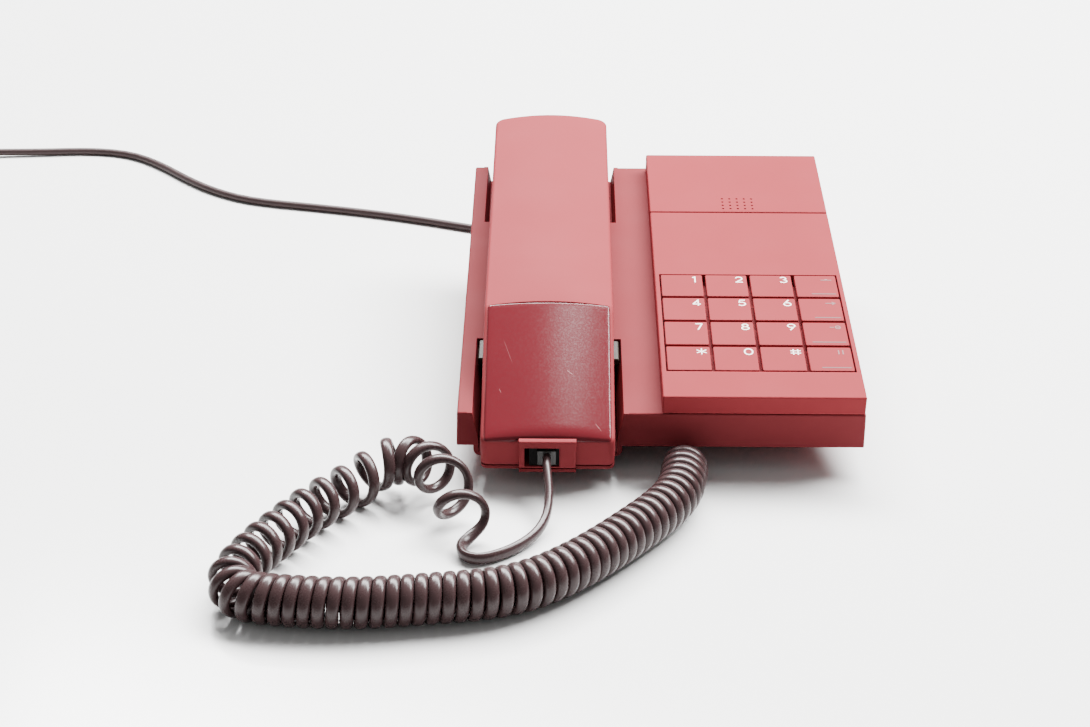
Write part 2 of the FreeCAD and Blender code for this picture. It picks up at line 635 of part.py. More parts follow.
def keypad_panel():
    """Panel with one opening for the key grid, the lattice that guides the keys and board posts."""
    panel = cover_shell(0, SEAM_Y - SEAM_GAP / 2)
    under_top = PANEL_HEIGHT - PANEL_TOP
    opening = block(GRID_LEFT, GRID_RIGHT, KEY_GRID_FRONT, GRID_BACK, under_top - OVER, PANEL_HEIGHT + OVER)
    panel = panel.cut(opening)
    front = KEY_GRID_FRONT - LATTICE_RIM
    back = GRID_BACK + LATTICE_RIM
    left = PANEL_LEFT + PANEL_WALL
    right = PANEL_RIGHT - PANEL_WALL
    lattice = block(left, right, front, back, LATTICE_BOTTOM, LATTICE_TOP)
    rims = [
        block(left, right, front, KEY_GRID_FRONT, LATTICE_BOTTOM, under_top),
        block(left, right, GRID_BACK, back, LATTICE_BOTTOM, under_top),
    ]
    holes = []
    for row in range(KEY_ROWS):
        for column in range(KEY_COLUMNS):
            x0, x1, y0, y1 = key_skirt(column, row, KEY_CLEARANCE)
            holes.append(block(x0, x1, y0, y1, LATTICE_BOTTOM - OVER, LATTICE_TOP + OVER))
    posts = [cylinder(x, y, MAT_BOTTOM, under_top, BOARD_POST_DIAMETER) for x, y in board_post_places()]
    return panel.fuse([lattice.cut(holes)] + rims + posts).removeSplitter()


def board_post_places():
    """Places of the panel's posts, before and behind the key grid."""
    reach = KEY_BOARD_OVERHANG - BOARD_POST_DIAMETER
    return [
        (x, y)
        for x in (GRID_LEFT + BOARD_POST_INSET, GRID_RIGHT - BOARD_POST_INSET)
        for y in (KEY_GRID_FRONT - reach, GRID_BACK + reach)
    ]


def key(column, row):
    """One key: bevelled cap, hollow skirt and two snap tabs that hold it under the lattice."""
    x, y = key_cell(column, row)
    half_gap = KEY_GAP / 2
    cap = bevelled_block(x + half_gap, x + KEY_PITCH_X - half_gap, y + half_gap, y + KEY_PITCH_Y - half_gap,
                         CAP_BOTTOM, KEY_TOP, KEY_BEVEL)
    x0, x1, y0, y1 = key_skirt(column, row, 0)
    skirt = block(x0, x1, y0, y1, KEY_BOTTOM, CAP_BOTTOM)
    wall = KEY_SKIRT_WALL
    hollow = block(x0 + wall, x1 - wall, y0 + wall, y1 - wall, KEY_BOTTOM - OVER, CAP_BOTTOM)
    middle = (x0 + x1) / 2
    tabs = block(middle - KEY_TAB_WIDTH / 2, middle + KEY_TAB_WIDTH / 2, y0 - KEY_TAB_REACH, y1 + KEY_TAB_REACH,
                 KEY_BOTTOM, KEY_BOTTOM + KEY_TAB_THICKNESS)
    return cap.fuse([skirt.cut(hollow), tabs.cut(hollow)]).removeSplitter()


def key_mat():
    """Rubber mat with a low contact dome under each key, drawn at its pressed height."""
    sheet = block(GRID_LEFT + MAT_MARGIN + TONGUE_THICKNESS, GRID_RIGHT - MAT_MARGIN - TONGUE_THICKNESS,
                  KEY_GRID_FRONT, GRID_BACK, MAT_BOTTOM, MAT_BOTTOM + MAT_THICKNESS)
    domes = []
    for row in range(KEY_ROWS):
        for column in range(KEY_COLUMNS):
            x, y = key_cell(column, row)
            domes.append(eight_sided_post(x + KEY_PITCH_X / 2, y + KEY_PITCH_Y / 2, MAT_BOTTOM, DOME_TOP,
                                          DOME_DIAMETER))
    return sheet.fuse(domes).removeSplitter()


def keypad_board():
    """Contact board clamped under the mat by the panel's posts."""
    edge = MAT_MARGIN + TONGUE_THICKNESS
    return block(GRID_LEFT + edge, GRID_RIGHT - edge, KEY_GRID_FRONT - KEY_BOARD_OVERHANG,
                 GRID_BACK + KEY_BOARD_OVERHANG, KEY_BOARD_BOTTOM, MAT_BOTTOM)


def ringer_place():
    """Middle of the ringer under the grille."""
    return (PANEL_LEFT + PANEL_RIGHT) / 2, (SEAM_Y + PANEL_BACK) / 2


def ringer_cover():
    """Cover behind the seam, with the field of sound holes and a ring that carries the ringer."""
    cover = cover_shell(SEAM_Y + SEAM_GAP / 2, PANEL_BACK)
    under_top = PANEL_HEIGHT - PANEL_TOP
    middle = (PANEL_LEFT + PANEL_RIGHT) / 2
    holes = []
    for column in range(GRILLE_COLUMNS):
        for row in range(GRILLE_ROWS):
            x = middle + (column - (GRILLE_COLUMNS - 1) / 2) * GRILLE_PITCH_X
            y = SEAM_Y + GRILLE_FROM_SEAM + (row - (GRILLE_ROWS - 1) / 2) * GRILLE_PITCH_Y
            holes.append(block(x - GRILLE_HOLE_X / 2, x + GRILLE_HOLE_X / 2, y - GRILLE_HOLE_Y / 2,
                               y + GRILLE_HOLE_Y / 2, under_top - OVER, PANEL_HEIGHT + OVER))
    x, y = ringer_place()
    low = under_top - RINGER_RING_HEIGHT
    ring = cylinder(x, y, low, under_top, RINGER_DIAMETER)
    ring = ring.cut(cylinder(x, y, low - OVER, under_top + OVER, RINGER_DIAMETER - 2 * RINGER_RING_WALL))
    return cover.fuse(ring).cut(holes).removeSplitter()


def ringer():
    """Small loudspeaker: rim flange, tapered basket and magnet pot."""
    x, y = ringer_place()
    top = PANEL_HEIGHT - PANEL_TOP - RINGER_RING_HEIGHT
    flange = cylinder(x, y, top - RINGER_FLANGE, top, RINGER_DIAMETER)
    basket_top = top - RINGER_FLANGE
    basket_depth = RINGER_MAGNET_DEPTH / 2
    basket = Part.makeCone(RINGER_MAGNET_DIAMETER / 2, RINGER_DIAMETER / 2 - RINGER_RING_WALL, basket_depth,
                           VECTOR(x, y, basket_top - basket_depth))
    magnet = cylinder(x, y, basket_top - RINGER_MAGNET_DEPTH, basket_top - basket_depth, RINGER_MAGNET_DIAMETER)
    return flange.fuse([basket, magnet]).removeSplitter()


def screw(x, y, seat, up):
    """Slotted pan-head screw; up is the way that its shank points from the seat."""
    head_end = seat - up * SCREW_HEAD_HEIGHT
    low, high = min(seat, head_end), max(seat, head_end)
    head = cylinder(x, y, low, high, SCREW_HEAD_DIAMETER)
    tip = seat + up * SCREW_LENGTH
    shank = cylinder(x, y, min(seat, tip), max(seat, tip), SCREW_DIAMETER)
    slot_end = head_end + up * SCREW_SLOT_DEPTH
    slot = block(x - SCREW_HEAD_DIAMETER, x + SCREW_HEAD_DIAMETER, y - SCREW_SLOT_WIDTH / 2,
                 y + SCREW_SLOT_WIDTH / 2, min(head_end, slot_end), max(head_end, slot_end))
    return head.fuse(shank).removeSplitter().cut(slot)


def base_screws():
    """Screws through the base plate into the housing's bosses."""
    return Part.makeCompound([screw(x, y, PLATE_BOTTOM, 1) for x, y in screw_places()])


def stand_envelope(inset, floor):
    """Upright-walled wedge under the base plate, drawn in on all sides by inset."""
    half = STAND_HALF - inset
    wedge = block(-half, half, STAND_FRONT + inset, STAND_BACK - inset, floor, DECK_FRONT_HEIGHT + BASE_DEPTH)
    wedge = wedge.makeFillet(max(STAND_CORNER - inset, 1.0), upright_edges(wedge))
    reach = 2 * BASE_DEPTH
    return wedge.common(tilt(block(-reach, reach, -reach, reach, -reach, PLATE_BOTTOM)))


def desk_stand():
    """Hollow wedge that gives the deck its slope, with snap tabs, foot recesses and cord openings."""
    stand = stand_envelope(0, STAND_BOTTOM).cut(stand_envelope(STAND_WALL, STAND_FLOOR_TOP))
    half = WELL_WIDTH / 2 + WELL_WALL - WELL_SLANT + TROUGH_CLEARANCE
    room = block(WELL_X - half, WELL_X + half, -1, FRONT_WELL_LENGTH + WELL_WALL + TROUGH_CLEARANCE,
                 -FRONT_WELL_DEPTH - WELL_WALL - TROUGH_CLEARANCE, 0)
    socket_half = BASE_SOCKET_WIDTH / 2 + JACK_FIT
    socket_room = block(BASE_SOCKET_X - socket_half, BASE_SOCKET_X + socket_half, STAND_FRONT - OVER,
                        STAND_FRONT + STAND_WALL + OVER, STAND_FLOOR_TOP,
                        STAND_FLOOR_TOP + BASE_SOCKET_HEIGHT + JACK_FIT)
    gland_hole = Part.makeCylinder(GLAND_DIAMETER / 2 + GLAND_FIT, 2 * STAND_WALL + 2,
                                   VECTOR(GLAND_X, STAND_BACK - STAND_WALL - OVER, GLAND_Z), VECTOR(0, 1, 0))
    recesses = [
        cylinder(x, y, STAND_BOTTOM - OVER, STAND_BOTTOM + FOOT_RECESS, FOOT_DIAMETER + 2 * FOOT_CLEARANCE)
        for x, y in foot_places()
    ]
    tabs = []
    for x, y in stand_tab_places():
        tabs.append(tilt(block(x - STAND_WALL / 2, x + STAND_WALL / 2, y - STAND_TAB_WIDTH / 2,
                               y + STAND_TAB_WIDTH / 2, PLATE_BOTTOM - STAND_WALL, PLATE_TOP)))
    return stand.cut([tilt(room), socket_room, gland_hole] + recesses).fuse(tabs).removeSplitter()


def foot_places():
    """Table-frame places of the four feet."""
    return [
        (x, y)
        for x in (-STAND_HALF + FOOT_INSET, STAND_HALF - FOOT_INSET)
        for y in (STAND_FRONT + FOOT_INSET, STAND_BACK - FOOT_INSET)
    ]


def rubber_feet():
    """Four round feet with a bevelled lower rim."""
    feet = []
    for x, y in foot_places():
        foot = cylinder(x, y, 0, FOOT_HEIGHT, FOOT_DIAMETER)
        feet.append(foot.makeChamfer(FOOT_BEVEL, edges_at_height(foot, 0)))
    return Part.makeCompound(feet)


def hook_flap():
    """Flap at the far end of the front well, with a finger through the well wall to the switch."""
    half = WELL_WIDTH / 2 - WELL_SLANT * FLAP_THICKNESS / WELL_SLANT_DEPTH - FLAP_CLEARANCE
    top = -FLAP_TOP_DEPTH
    plate = soft_block(WELL_X - half, WELL_X + half, FLAP_FRONT, FLAP_BACK, top - FLAP_THICKNESS, top,
                       PANEL_EDGE_RADIUS)
    finger_low = top - FINGER_DEPTH
    web = block(WELL_X - FINGER_WIDTH / 2, WELL_X + FINGER_WIDTH / 2, FLAP_BACK - FLAP_WEB - PANEL_EDGE_RADIUS,
                FLAP_BACK - PANEL_EDGE_RADIUS, finger_low, top - FLAP_THICKNESS)
    finger = block(WELL_X - FINGER_WIDTH / 2, WELL_X + FINGER_WIDTH / 2, FLAP_BACK - FLAP_WEB - PANEL_EDGE_RADIUS,
                   FRONT_WELL_LENGTH + WELL_WALL + FINGER_LENGTH, finger_low, finger_low + FINGER_THICKNESS)
    return plate.fuse([web, finger]).removeSplitter()


def hook_switch():
    """Small switch on the base plate, its plunger under the flap's finger."""
    x = WELL_X + FINGER_WIDTH / 4
    y0 = FRONT_WELL_LENGTH + WELL_WALL + (FINGER_LENGTH - SWITCH_LENGTH) / 2 + TROUGH_CLEARANCE
    finger_low = -FLAP_TOP_DEPTH - FINGER_DEPTH
    top = finger_low - PLUNGER_GAP - PLUNGER_HEIGHT
    body = block(x - SWITCH_WIDTH / 2, x + SWITCH_WIDTH / 2, y0, y0 + SWITCH_LENGTH, PLATE_TOP, top)
    plunger = cylinder(x, y0 + SWITCH_LENGTH / 2, top, finger_low - PLUNGER_GAP, PLUNGER_DIAMETER)
    return body.fuse(plunger).removeSplitter()


def hook_spring():
    """Bent leaf on the base plate that lifts the flap's finger, drawn pressed."""
    x = WELL_X - FINGER_WIDTH / 4
    y0 = FRONT_WELL_LENGTH + WELL_WALL + TROUGH_CLEARANCE + LEAF_THICKNESS
    y1 = FRONT_WELL_LENGTH + WELL_WALL + FINGER_LENGTH + LEAF_FOOT
    high = -FLAP_TOP_DEPTH - FINGER_DEPTH - PLUNGER_GAP
    thick = LEAF_THICKNESS
    outline = [
        (y1, PLATE_TOP), (y1, PLATE_TOP + thick), (y1 - LEAF_FOOT, PLATE_TOP + thick), (y0 + LEAF_FOOT / 2, high),
        (y0, high), (y0, high - thick), (y0 + LEAF_FOOT / 3, high - thick), (y1 - LEAF_FOOT - thick, PLATE_TOP),
    ]
    return profile_across(outline, x - LEAF_WIDTH / 2, x + LEAF_WIDTH / 2)


def under_profile(mouth, grip, ear, shift, toe):
    """Side line of the handset's underside at three levels; shift moves its slopes along the handset."""
    return [
        (MOUTH_CUP_BACK - shift, mouth),
        (MOUTH_CUP_BACK + CUP_SLOPE - shift, grip),
        (EAR_CUP_FRONT - CUP_SLOPE + shift, grip),
        (EAR_CUP_FRONT + shift, ear),
        (HANDSET_BACK - EAR_TOE - shift, ear),
        (HANDSET_BACK + OVER, toe + EAR_TOE_RISE / EAR_TOE),
    ]


def parting_line(drop):
    """Line between the two shells, lowered by drop."""
    toe = EAR_PARTING + EAR_TOE_RISE + GRIP_FLOOR / 2
    line = under_profile(MOUTH_PARTING, GRIP_PARTING, EAR_PARTING, GRIP_FLOOR / 2, toe)
    return [(y, z - drop) for y, z in line]


def handset_plan(inset):
    """Upright prism of the handset's outline from above, with its four corners rounded."""
    half = HANDSET_HALF - inset
    front, back = HANDSET_FRONT + inset, HANDSET_BACK - inset
    prism = block(WELL_X - half, WELL_X + half, front, back, -2 * HANDSET_TOP, 2 * HANDSET_TOP)
    edges = upright_edges(prism)
    front_edges = [e for e in edges if e.BoundBox.YMax < 0]
    back_edges = [e for e in edges if e.BoundBox.YMin > 0]
    prism = prism.makeFillet(max(HANDSET_BACK_CORNER - inset, 0.5), back_edges)
    edges = [e for e in upright_edges(prism) if e.BoundBox.YMax < front + 1e-6]
    return prism.makeFillet(max(HANDSET_FRONT_CORNER - inset, 0.5), edges[:len(front_edges)])


def shoulder_section(y, half, edge_top, crown, radius):
    """Cross-section wire of the handset: straight sides, rounded shoulders and a crowned top."""
    floor = -2 * HANDSET_TOP
    turn = radius * (1 - math.sqrt(0.5))
    def at(x, z):
        return VECTOR(WELL_X + x, y, z)
    low_left, low_right = at(-half, floor), at(half, floor)
    side_left, side_right = at(-half, edge_top - radius), at(half, edge_top - radius)
    top_left, top_right = at(-half + radius, edge_top), at(half - radius, edge_top)
    edges = [
        Part.LineSegment(low_right, low_left).toShape(),
        Part.LineSegment(low_left, side_left).toShape(),
        Part.Arc(side_left, at(-half + turn, edge_top - turn), top_left).toShape(),
        Part.Arc(top_left, at(0, edge_top + crown), top_right).toShape(),
        Part.Arc(top_right, at(half - turn, edge_top - turn), side_right).toShape(),
        Part.LineSegment(side_right, low_right).toShape(),
    ]
    return Part.Wire(edges)


def handset_body(inset):
    """Handset's outer form, or its hollow when inset: crowned grip and sloping near end."""
    half = HANDSET_HALF - inset
    radius = max(HANDSET_TOP_RADIUS - inset, 0.4)
    grip_section = shoulder_section(CREASE_Y - inset, half, EDGE_TOP - inset, HANDSET_CROWN, radius)
    grip = Part.Face(grip_section).extrude(VECTOR(0, HANDSET_BACK - CREASE_Y + inset, 0))
    slope = (EDGE_TOP - FRONT_TOP) / (CREASE_Y - HANDSET_FRONT)
    down = inset * math.sqrt(1 + slope * slope)
    near = Part.makeLoft([
        shoulder_section(HANDSET_FRONT, half, FRONT_TOP - down, LEDGE_CROWN, radius),
        shoulder_section(CREASE_Y, half, EDGE_TOP - down, LEDGE_CROWN, radius),
    ], True, True)
    return grip.fuse(near).common(handset_plan(inset))


def above_line(line, height):
    """Region above a side line, as wide as the handset."""
    first, last = line[0], line[-1]
    front = HANDSET_FRONT - 2 * JACK_BOSS_PROUD
    outline = [(front, first[1])] + line + [(last[0], height), (front, height)]
    return profile_across(outline, WELL_X - HANDSET_WIDTH, WELL_X + HANDSET_WIDTH)


def jack_boss():
    """Raised block on the handset's front face round the cord jack."""
    half = JACK_BOSS_WIDTH / 2
    return block(WELL_X - half, WELL_X + half, JACK_FACE, HANDSET_FRONT + COVER_END_GAP / 2, MOUTH_PARTING,
                 -JACK_BOSS_TOP_DEPTH)


def handset_screw_places():
    """Places of the two handset screws, in the grip's underside."""
    return [
        (WELL_X, MOUTH_CUP_BACK + CUP_SLOPE + HANDSET_SCREW_INSET),
        (WELL_X, EAR_CUP_FRONT - CUP_SLOPE - HANDSET_SCREW_INSET),
    ]


def handset_upper_shell():
    """Hollow upper shell with the front face, jack boss and screw bosses."""
    region = above_line(parting_line(0), 2 * HANDSET_TOP)
    outer = handset_body(0).common(region)
    hollow = handset_body(HANDSET_WALL).common(above_line(parting_line(OVER), 2 * HANDSET_TOP))
    shell = outer.cut(hollow).fuse(jack_boss())
    under = HANDSET_TOP - HANDSET_WALL / 2
    bosses = [cylinder(x, y, GRIP_PARTING, under, HANDSET_BOSS_DIAMETER) for x, y in handset_screw_places()]
    shell = shell.fuse(bosses)
    cuts = [cylinder(x, y, GRIP_PARTING - OVER, GRIP_PARTING + SCREW_LENGTH, SCREW_DIAMETER)
            for x, y in handset_screw_places()]
    cuts.append(block(JACK_LEFT, JACK_RIGHT, JACK_FACE - OVER, HANDSET_FRONT + HANDSET_WALL + OVER,
                      JACK_BOTTOM, JACK_TOP))
    return shell.cut(cuts).removeSplitter()


def handset_lower_shell():
    """Bottom cover of the handset: mouth floor, grip and ear cup in one bent sheet, with sound holes."""
    toe = EAR_PARTING - EAR_FLOOR + EAR_TOE_RISE
    under = under_profile(-MOUTH_DEPTH, GRIP_GAP, -EAR_DEPTH, 0, toe)
    upper = parting_line(PARTING_GAP)
    front = HANDSET_FRONT
    outline = [(front, under[0][1])] + under + upper[::-1] + [(front, upper[0][1])]
    sheet = profile_across(outline, WELL_X - HANDSET_WIDTH, WELL_X + HANDSET_WIDTH).common(handset_plan(0))
    half = JACK_BOSS_WIDTH / 2
    lip = block(WELL_X - half, WELL_X + half, JACK_FACE, HANDSET_FRONT + HANDSET_WALL, -MOUTH_DEPTH,
                MOUTH_PARTING - PARTING_GAP)
    x, y = receiver_place()
    ring = cylinder(x, y, -EAR_DEPTH, EAR_PARTING + EAR_RING_HEIGHT,
                    RECEIVER_DIAMETER + 2 * EAR_RING_CLEARANCE + 2 * EAR_RING_WALL)
    ring = ring.cut(cylinder(x, y, -EAR_DEPTH - OVER, EAR_PARTING + EAR_RING_HEIGHT + OVER,
                             RECEIVER_DIAMETER + 2 * EAR_RING_CLEARANCE))
    shell = sheet.fuse([lip, ring])
    cuts = [cylinder(x, y, -EAR_DEPTH - OVER, EAR_PARTING + OVER, EAR_HOLE_DIAMETER)]
    for step in range(EAR_HOLE_COUNT):
        angle = 2 * math.pi * step / EAR_HOLE_COUNT
        hole_x = x + EAR_HOLE_CIRCLE / 2 * math.cos(angle)
        hole_y = y + EAR_HOLE_CIRCLE / 2 * math.sin(angle)
        cuts.append(cylinder(hole_x, hole_y, -EAR_DEPTH - OVER, EAR_PARTING + OVER, EAR_HOLE_DIAMETER))
    mic_x, mic_y = mic_place()
    for step in range(MIC_SLOT_COUNT):
        slot_x = mic_x + (step - (MIC_SLOT_COUNT - 1) / 2) * MIC_SLOT_PITCH
        cuts.append(block(slot_x - MIC_SLOT_WIDTH / 2, slot_x + MIC_SLOT_WIDTH / 2, mic_y - MIC_SLOT_LENGTH / 2,
                          mic_y + MIC_SLOT_LENGTH / 2, -MOUTH_DEPTH - OVER, MOUTH_PARTING + OVER))
    for hole_x, hole_y in handset_screw_places():
        cuts.append(cylinder(hole_x, hole_y, GRIP_GAP - OVER, GRIP_PARTING + OVER,
                             SCREW_DIAMETER + 2 * SCREW_HOLE_CLEARANCE))
        cuts.append(cylinder(hole_x, hole_y, GRIP_GAP - OVER, GRIP_GAP + GRIP_FLOOR / 2,
                             SCREW_HEAD_DIAMETER + 2 * SCREW_HOLE_CLEARANCE))
    return shell.cut(cuts).removeSplitter()


def receiver_place():
    """Middle of the ear capsule."""
    return WELL_X, HANDSET_BACK - RECEIVER_FROM_BACK


def mic_place():
    """Middle of the microphone."""
    return WELL_X, HANDSET_FRONT + MIC_FROM_FRONT


def mouth_cover():
    """Crowned plate that lies on the handset's sloping near end, inset from its sides."""
    half = HANDSET_HALF - COVER_INSET
    slope = (EDGE_TOP - FRONT_TOP) / (CREASE_Y - HANDSET_FRONT)
    y0, y1 = HANDSET_FRONT + COVER_END_GAP, CREASE_Y - COVER_END_GAP
    sections = []
    for y in (y0, y1):
        seat = FRONT_TOP + slope * (y - HANDSET_FRONT) + COVER_SLIP
        edge = seat + COVER_EDGE
        points = [VECTOR(WELL_X - half, y, seat), VECTOR(WELL_X - half, y, edge),
                  VECTOR(WELL_X, y, edge + COVER_CROWN), VECTOR(WELL_X + half, y, edge),
                  VECTOR(WELL_X + half, y, seat)]
        sections.append(Part.Wire([
            Part.LineSegment(points[4], points[0]).toShape(),
            Part.LineSegment(points[0], points[1]).toShape(),
            Part.Arc(points[1], points[2], points[3]).toShape(),
            Part.LineSegment(points[3], points[4]).toShape(),
        ]))
    return Part.makeLoft(sections, True, True)


def receiver_capsule():
    """Ear capsule with a stepped back."""
    x, y = receiver_place()
    seat = EAR_PARTING
    wide = cylinder(x, y, seat, seat + RECEIVER_RIM_HEIGHT, RECEIVER_DIAMETER)
    narrow = cylinder(x, y, seat, seat + RECEIVER_HEIGHT, RECEIVER_BACK_DIAMETER)
    return wide.fuse(narrow).removeSplitter()


def microphone():
    """Round microphone insert on the mouth floor."""
    x, y = mic_place()
    can = cylinder(x, y, MOUTH_PARTING, MOUTH_PARTING + MIC_HEIGHT, MIC_DIAMETER)
    return can.makeChamfer(MIC_BEVEL, edges_at_height(can, MOUTH_PARTING + MIC_HEIGHT))


def handset_weight():
    """Steel bar in the grip that gives the handset its weight."""
    middle = (MOUTH_CUP_BACK + EAR_CUP_FRONT) / 2
    return block(WELL_X - WEIGHT_WIDTH / 2, WELL_X + WEIGHT_WIDTH / 2, middle - WEIGHT_LENGTH / 2,
                 middle + WEIGHT_LENGTH / 2, GRIP_PARTING, GRIP_PARTING + WEIGHT_HEIGHT)


def handset_screws():
    """Two screws that hold the handset's shells together."""
    seat = GRIP_GAP + GRIP_FLOOR / 2
    return Part.makeCompound([screw(x, y, seat, 1) for x, y in handset_screw_places()])


def plug_hollow_edges(x, z):
    """Left, right, low and high sides of the room for a plug and its latch."""
    half = PLUG_WIDTH / 2 + PLUG_CLEARANCE
    low = z - PLUG_HEIGHT / 2 - PLUG_CLEARANCE
    high = z + PLUG_HEIGHT / 2 + LATCH_HEIGHT + PLUG_CLEARANCE
    return x - half, x + half, low, high


def handset_jack():
    """Jack in the boss: a block with the plug's room open to the front."""
    fit = JACK_FIT
    face = JACK_FACE + PANEL_EDGE_RADIUS
    body = block(JACK_LEFT + fit, JACK_RIGHT - fit, face, face + JACK_LENGTH, JACK_BOTTOM + fit, JACK_TOP - fit)
    x0, x1, z0, z1 = plug_hollow_edges(PLUG_X, PLUG_Z)
    room = block(x0, x1, face - OVER, JACK_FACE - PLUG_EXIT_PROUD + PLUG_LENGTH + PLUG_CLEARANCE, z0, z1)
    return body.cut(room)


def plug(x, y_cord, z, direction):
    """Modular plug: flat body with a latch on its top; direction is the way it goes in along Y."""
    tip = y_cord + direction * PLUG_LENGTH
    y0, y1 = min(y_cord, tip), max(y_cord, tip)
    body = block(x - PLUG_WIDTH / 2, x + PLUG_WIDTH / 2, y0, y1, z - PLUG_HEIGHT / 2, z + PLUG_HEIGHT / 2)
    latch_end = tip - direction * LATCH_LENGTH
    latch = block(x - LATCH_WIDTH / 2, x + LATCH_WIDTH / 2, min(tip, latch_end), max(tip, latch_end),
                  z + PLUG_HEIGHT / 2, z + PLUG_HEIGHT / 2 + LATCH_HEIGHT)
    return body.fuse(latch).removeSplitter()


def base_cord_socket():
    """Socket for the handset cord in the stand's front wall."""
    half = BASE_SOCKET_WIDTH / 2
    body = block(BASE_SOCKET_X - half, BASE_SOCKET_X + half, STAND_FRONT, STAND_FRONT + BASE_SOCKET_LENGTH,
                 STAND_FLOOR_TOP, STAND_FLOOR_TOP + BASE_SOCKET_HEIGHT)
    x0, x1, z0, z1 = plug_hollow_edges(BASE_SOCKET_X, BASE_PLUG_Z)
    room = block(x0, x1, STAND_FRONT - OVER, STAND_FRONT - BASE_PLUG_OUT + PLUG_LENGTH + PLUG_CLEARANCE, z0, z1)
    return body.cut(room)


def line_cord_gland():
    """Strain relief in the stand's back wall: neck, collar and a tapered boot."""
    axis = VECTOR(0, 1, 0)
    start = STAND_BACK - STAND_WALL
    neck = Part.makeCylinder(GLAND_DIAMETER / 2, STAND_WALL + GLAND_COLLAR, VECTOR(GLAND_X, start, GLAND_Z), axis)
    collar = Part.makeCylinder(GLAND_COLLAR_DIAMETER / 2, GLAND_COLLAR, VECTOR(GLAND_X, STAND_BACK, GLAND_Z), axis)
    boot_start = STAND_BACK + GLAND_COLLAR
    boot = Part.makeCone(GLAND_DIAMETER / 2, GLAND_TIP_DIAMETER / 2, GLAND_LENGTH,
                         VECTOR(GLAND_X, boot_start, GLAND_Z), axis)
    return neck.fuse([collar, boot]).removeSplitter()


def sided_wire(centre, along, diameter, sides):
    """Regular polygon round a point, square to a direction."""
    along = VECTOR(along).normalize()
    side = along.cross(VECTOR(0, 0, 1)).normalize()
    up = side.cross(along)
    points = []
    for step in range(sides):
        angle = 2 * math.pi * (step + 0.5) / sides
        points.append(centre + side * (diameter / 2 * math.cos(angle)) + up * (diameter / 2 * math.sin(angle)))
    return Part.makePolygon(points + points[:1])


def polygon_area(diameter, sides):
    """Area of a regular polygon from its corner circle."""
    return sides / 2 * (diameter / 2) ** 2 * math.sin(2 * math.pi / sides)


def sweep(edges, diameter, sides, name):
    """Tube of a many-sided section along edges, with its volume set against section times length."""
    wire = Part.Wire(edges)
    first = edges[0]
    start = first.FirstParameter
    section = sided_wire(first.valueAt(start), first.tangentAt(start), diameter, sides)
    tube = wire.makePipeShell([section], True, False)
    expected = polygon_area(diameter, sides) * wire.Length
    print(name, "length", round(wire.Length, 1), "volume ratio", round(tube.Volume / expected, 4))
    return tube


def rounded_route(points, name):
    """Straight runs joined by tangent arcs, each arc as large as its two runs allow."""
    vectors = [VECTOR(*p) for p in points]
    edges = []
    radii = []
    start = vectors[0]
    for before, corner, after in zip(vectors, vectors[1:], vectors[2:]):
        to_before = (before - corner)
        to_after = (after - corner)
        reach = 0.45 * min(to_before.Length, to_after.Length)
        turn = math.pi - to_before.getAngle(to_after)
        radius = reach / math.tan(turn / 2)
        radii.append(round(radius, 1))
        arc_start = corner + to_before.normalize() * reach
        arc_end = corner + to_after.normalize() * reach
        bisector = (to_before + to_after).normalize()
        centre = corner + bisector * (radius / math.cos(turn / 2))
        middle = centre - bisector * radius
        edges.append(Part.LineSegment(start, arc_start).toShape())
        edges.append(Part.Arc(arc_start, middle, arc_end).toShape())
        start = arc_end
    edges.append(Part.LineSegment(start, vectors[-1]).toShape())
    print(name, "radii", radii)
    return edges


def arc_from(start, end, corner):
    """Arc between two points whose tangents meet at a corner."""
    middle = (start + end) * 0.5
    half_chord = (end - start).Length / 2
    away = corner - middle
    half_turn = math.atan2(away.Length, half_chord)
    return Part.Arc(start, middle + away.normalize() * (half_chord * math.tan(half_turn / 2)), end).toShape()


def biarc(start, start_way, end, end_way):
    """Two tangent arcs from one point and direction to another."""
    across = end - start
    ways = start_way + end_way
    square = 2 * (1 - start_way.dot(end_way))
    lead = across.dot(ways)
    if square > 1e-9:
        reach = (math.sqrt(lead * lead + square * across.dot(across)) - lead) / square
    else:
        reach = across.dot(across) / (2 * lead)
    first_corner = start + start_way * reach
    last_corner = end - end_way * reach
    joint = (first_corner + last_corner) * 0.5
    return [arc_from(start, joint, first_corner), arc_from(joint, end, last_corner)]


def wound_edges(place, stations):
    """Biarcs through a winding's stations; place(t) gives its point."""
    step = 1e-4
    points = [place(t) for t in stations]
    ways = [(place(t + step) - place(t - step)).normalize() for t in stations]
    edges = []
    for index in range(len(stations) - 1):
        edges += biarc(points[index], ways[index], points[index + 1], ways[index + 1])
    return edges


def least_gap(edges, diameter, name):
    """Smallest clear gap between stretches of a winding, measured on points and printed."""
    spacing = diameter / 3
    apart = int(4 * diameter / spacing)
    points = []
    for edge in edges:
        count = max(int(edge.Length / spacing), 2)
        points += [(p.x, p.y, p.z) for p in edge.discretize(count)[:-1]]
    cells = {}
    size = 2 * diameter
    least = size
    for index, point in enumerate(points):
        home = tuple(int(math.floor(c / size)) for c in point)
        for dx in (-1, 0, 1):
            for dy in (-1, 0, 1):
                for dz in (-1, 0, 1):
                    for other in cells.get((home[0] + dx, home[1] + dy, home[2] + dz), ()):
                        if index - other > apart:
                            least = min(least, math.dist(point, points[other]))
        cells.setdefault(home, []).append(index)
    print(name, "least gap", round(least - diameter, 2), "points", len(points))


def smooth_step(t):
    """Ease from 0 to 1."""
    t = min(max(t, 0.0), 1.0)
    return t * t * (3 - 2 * t)


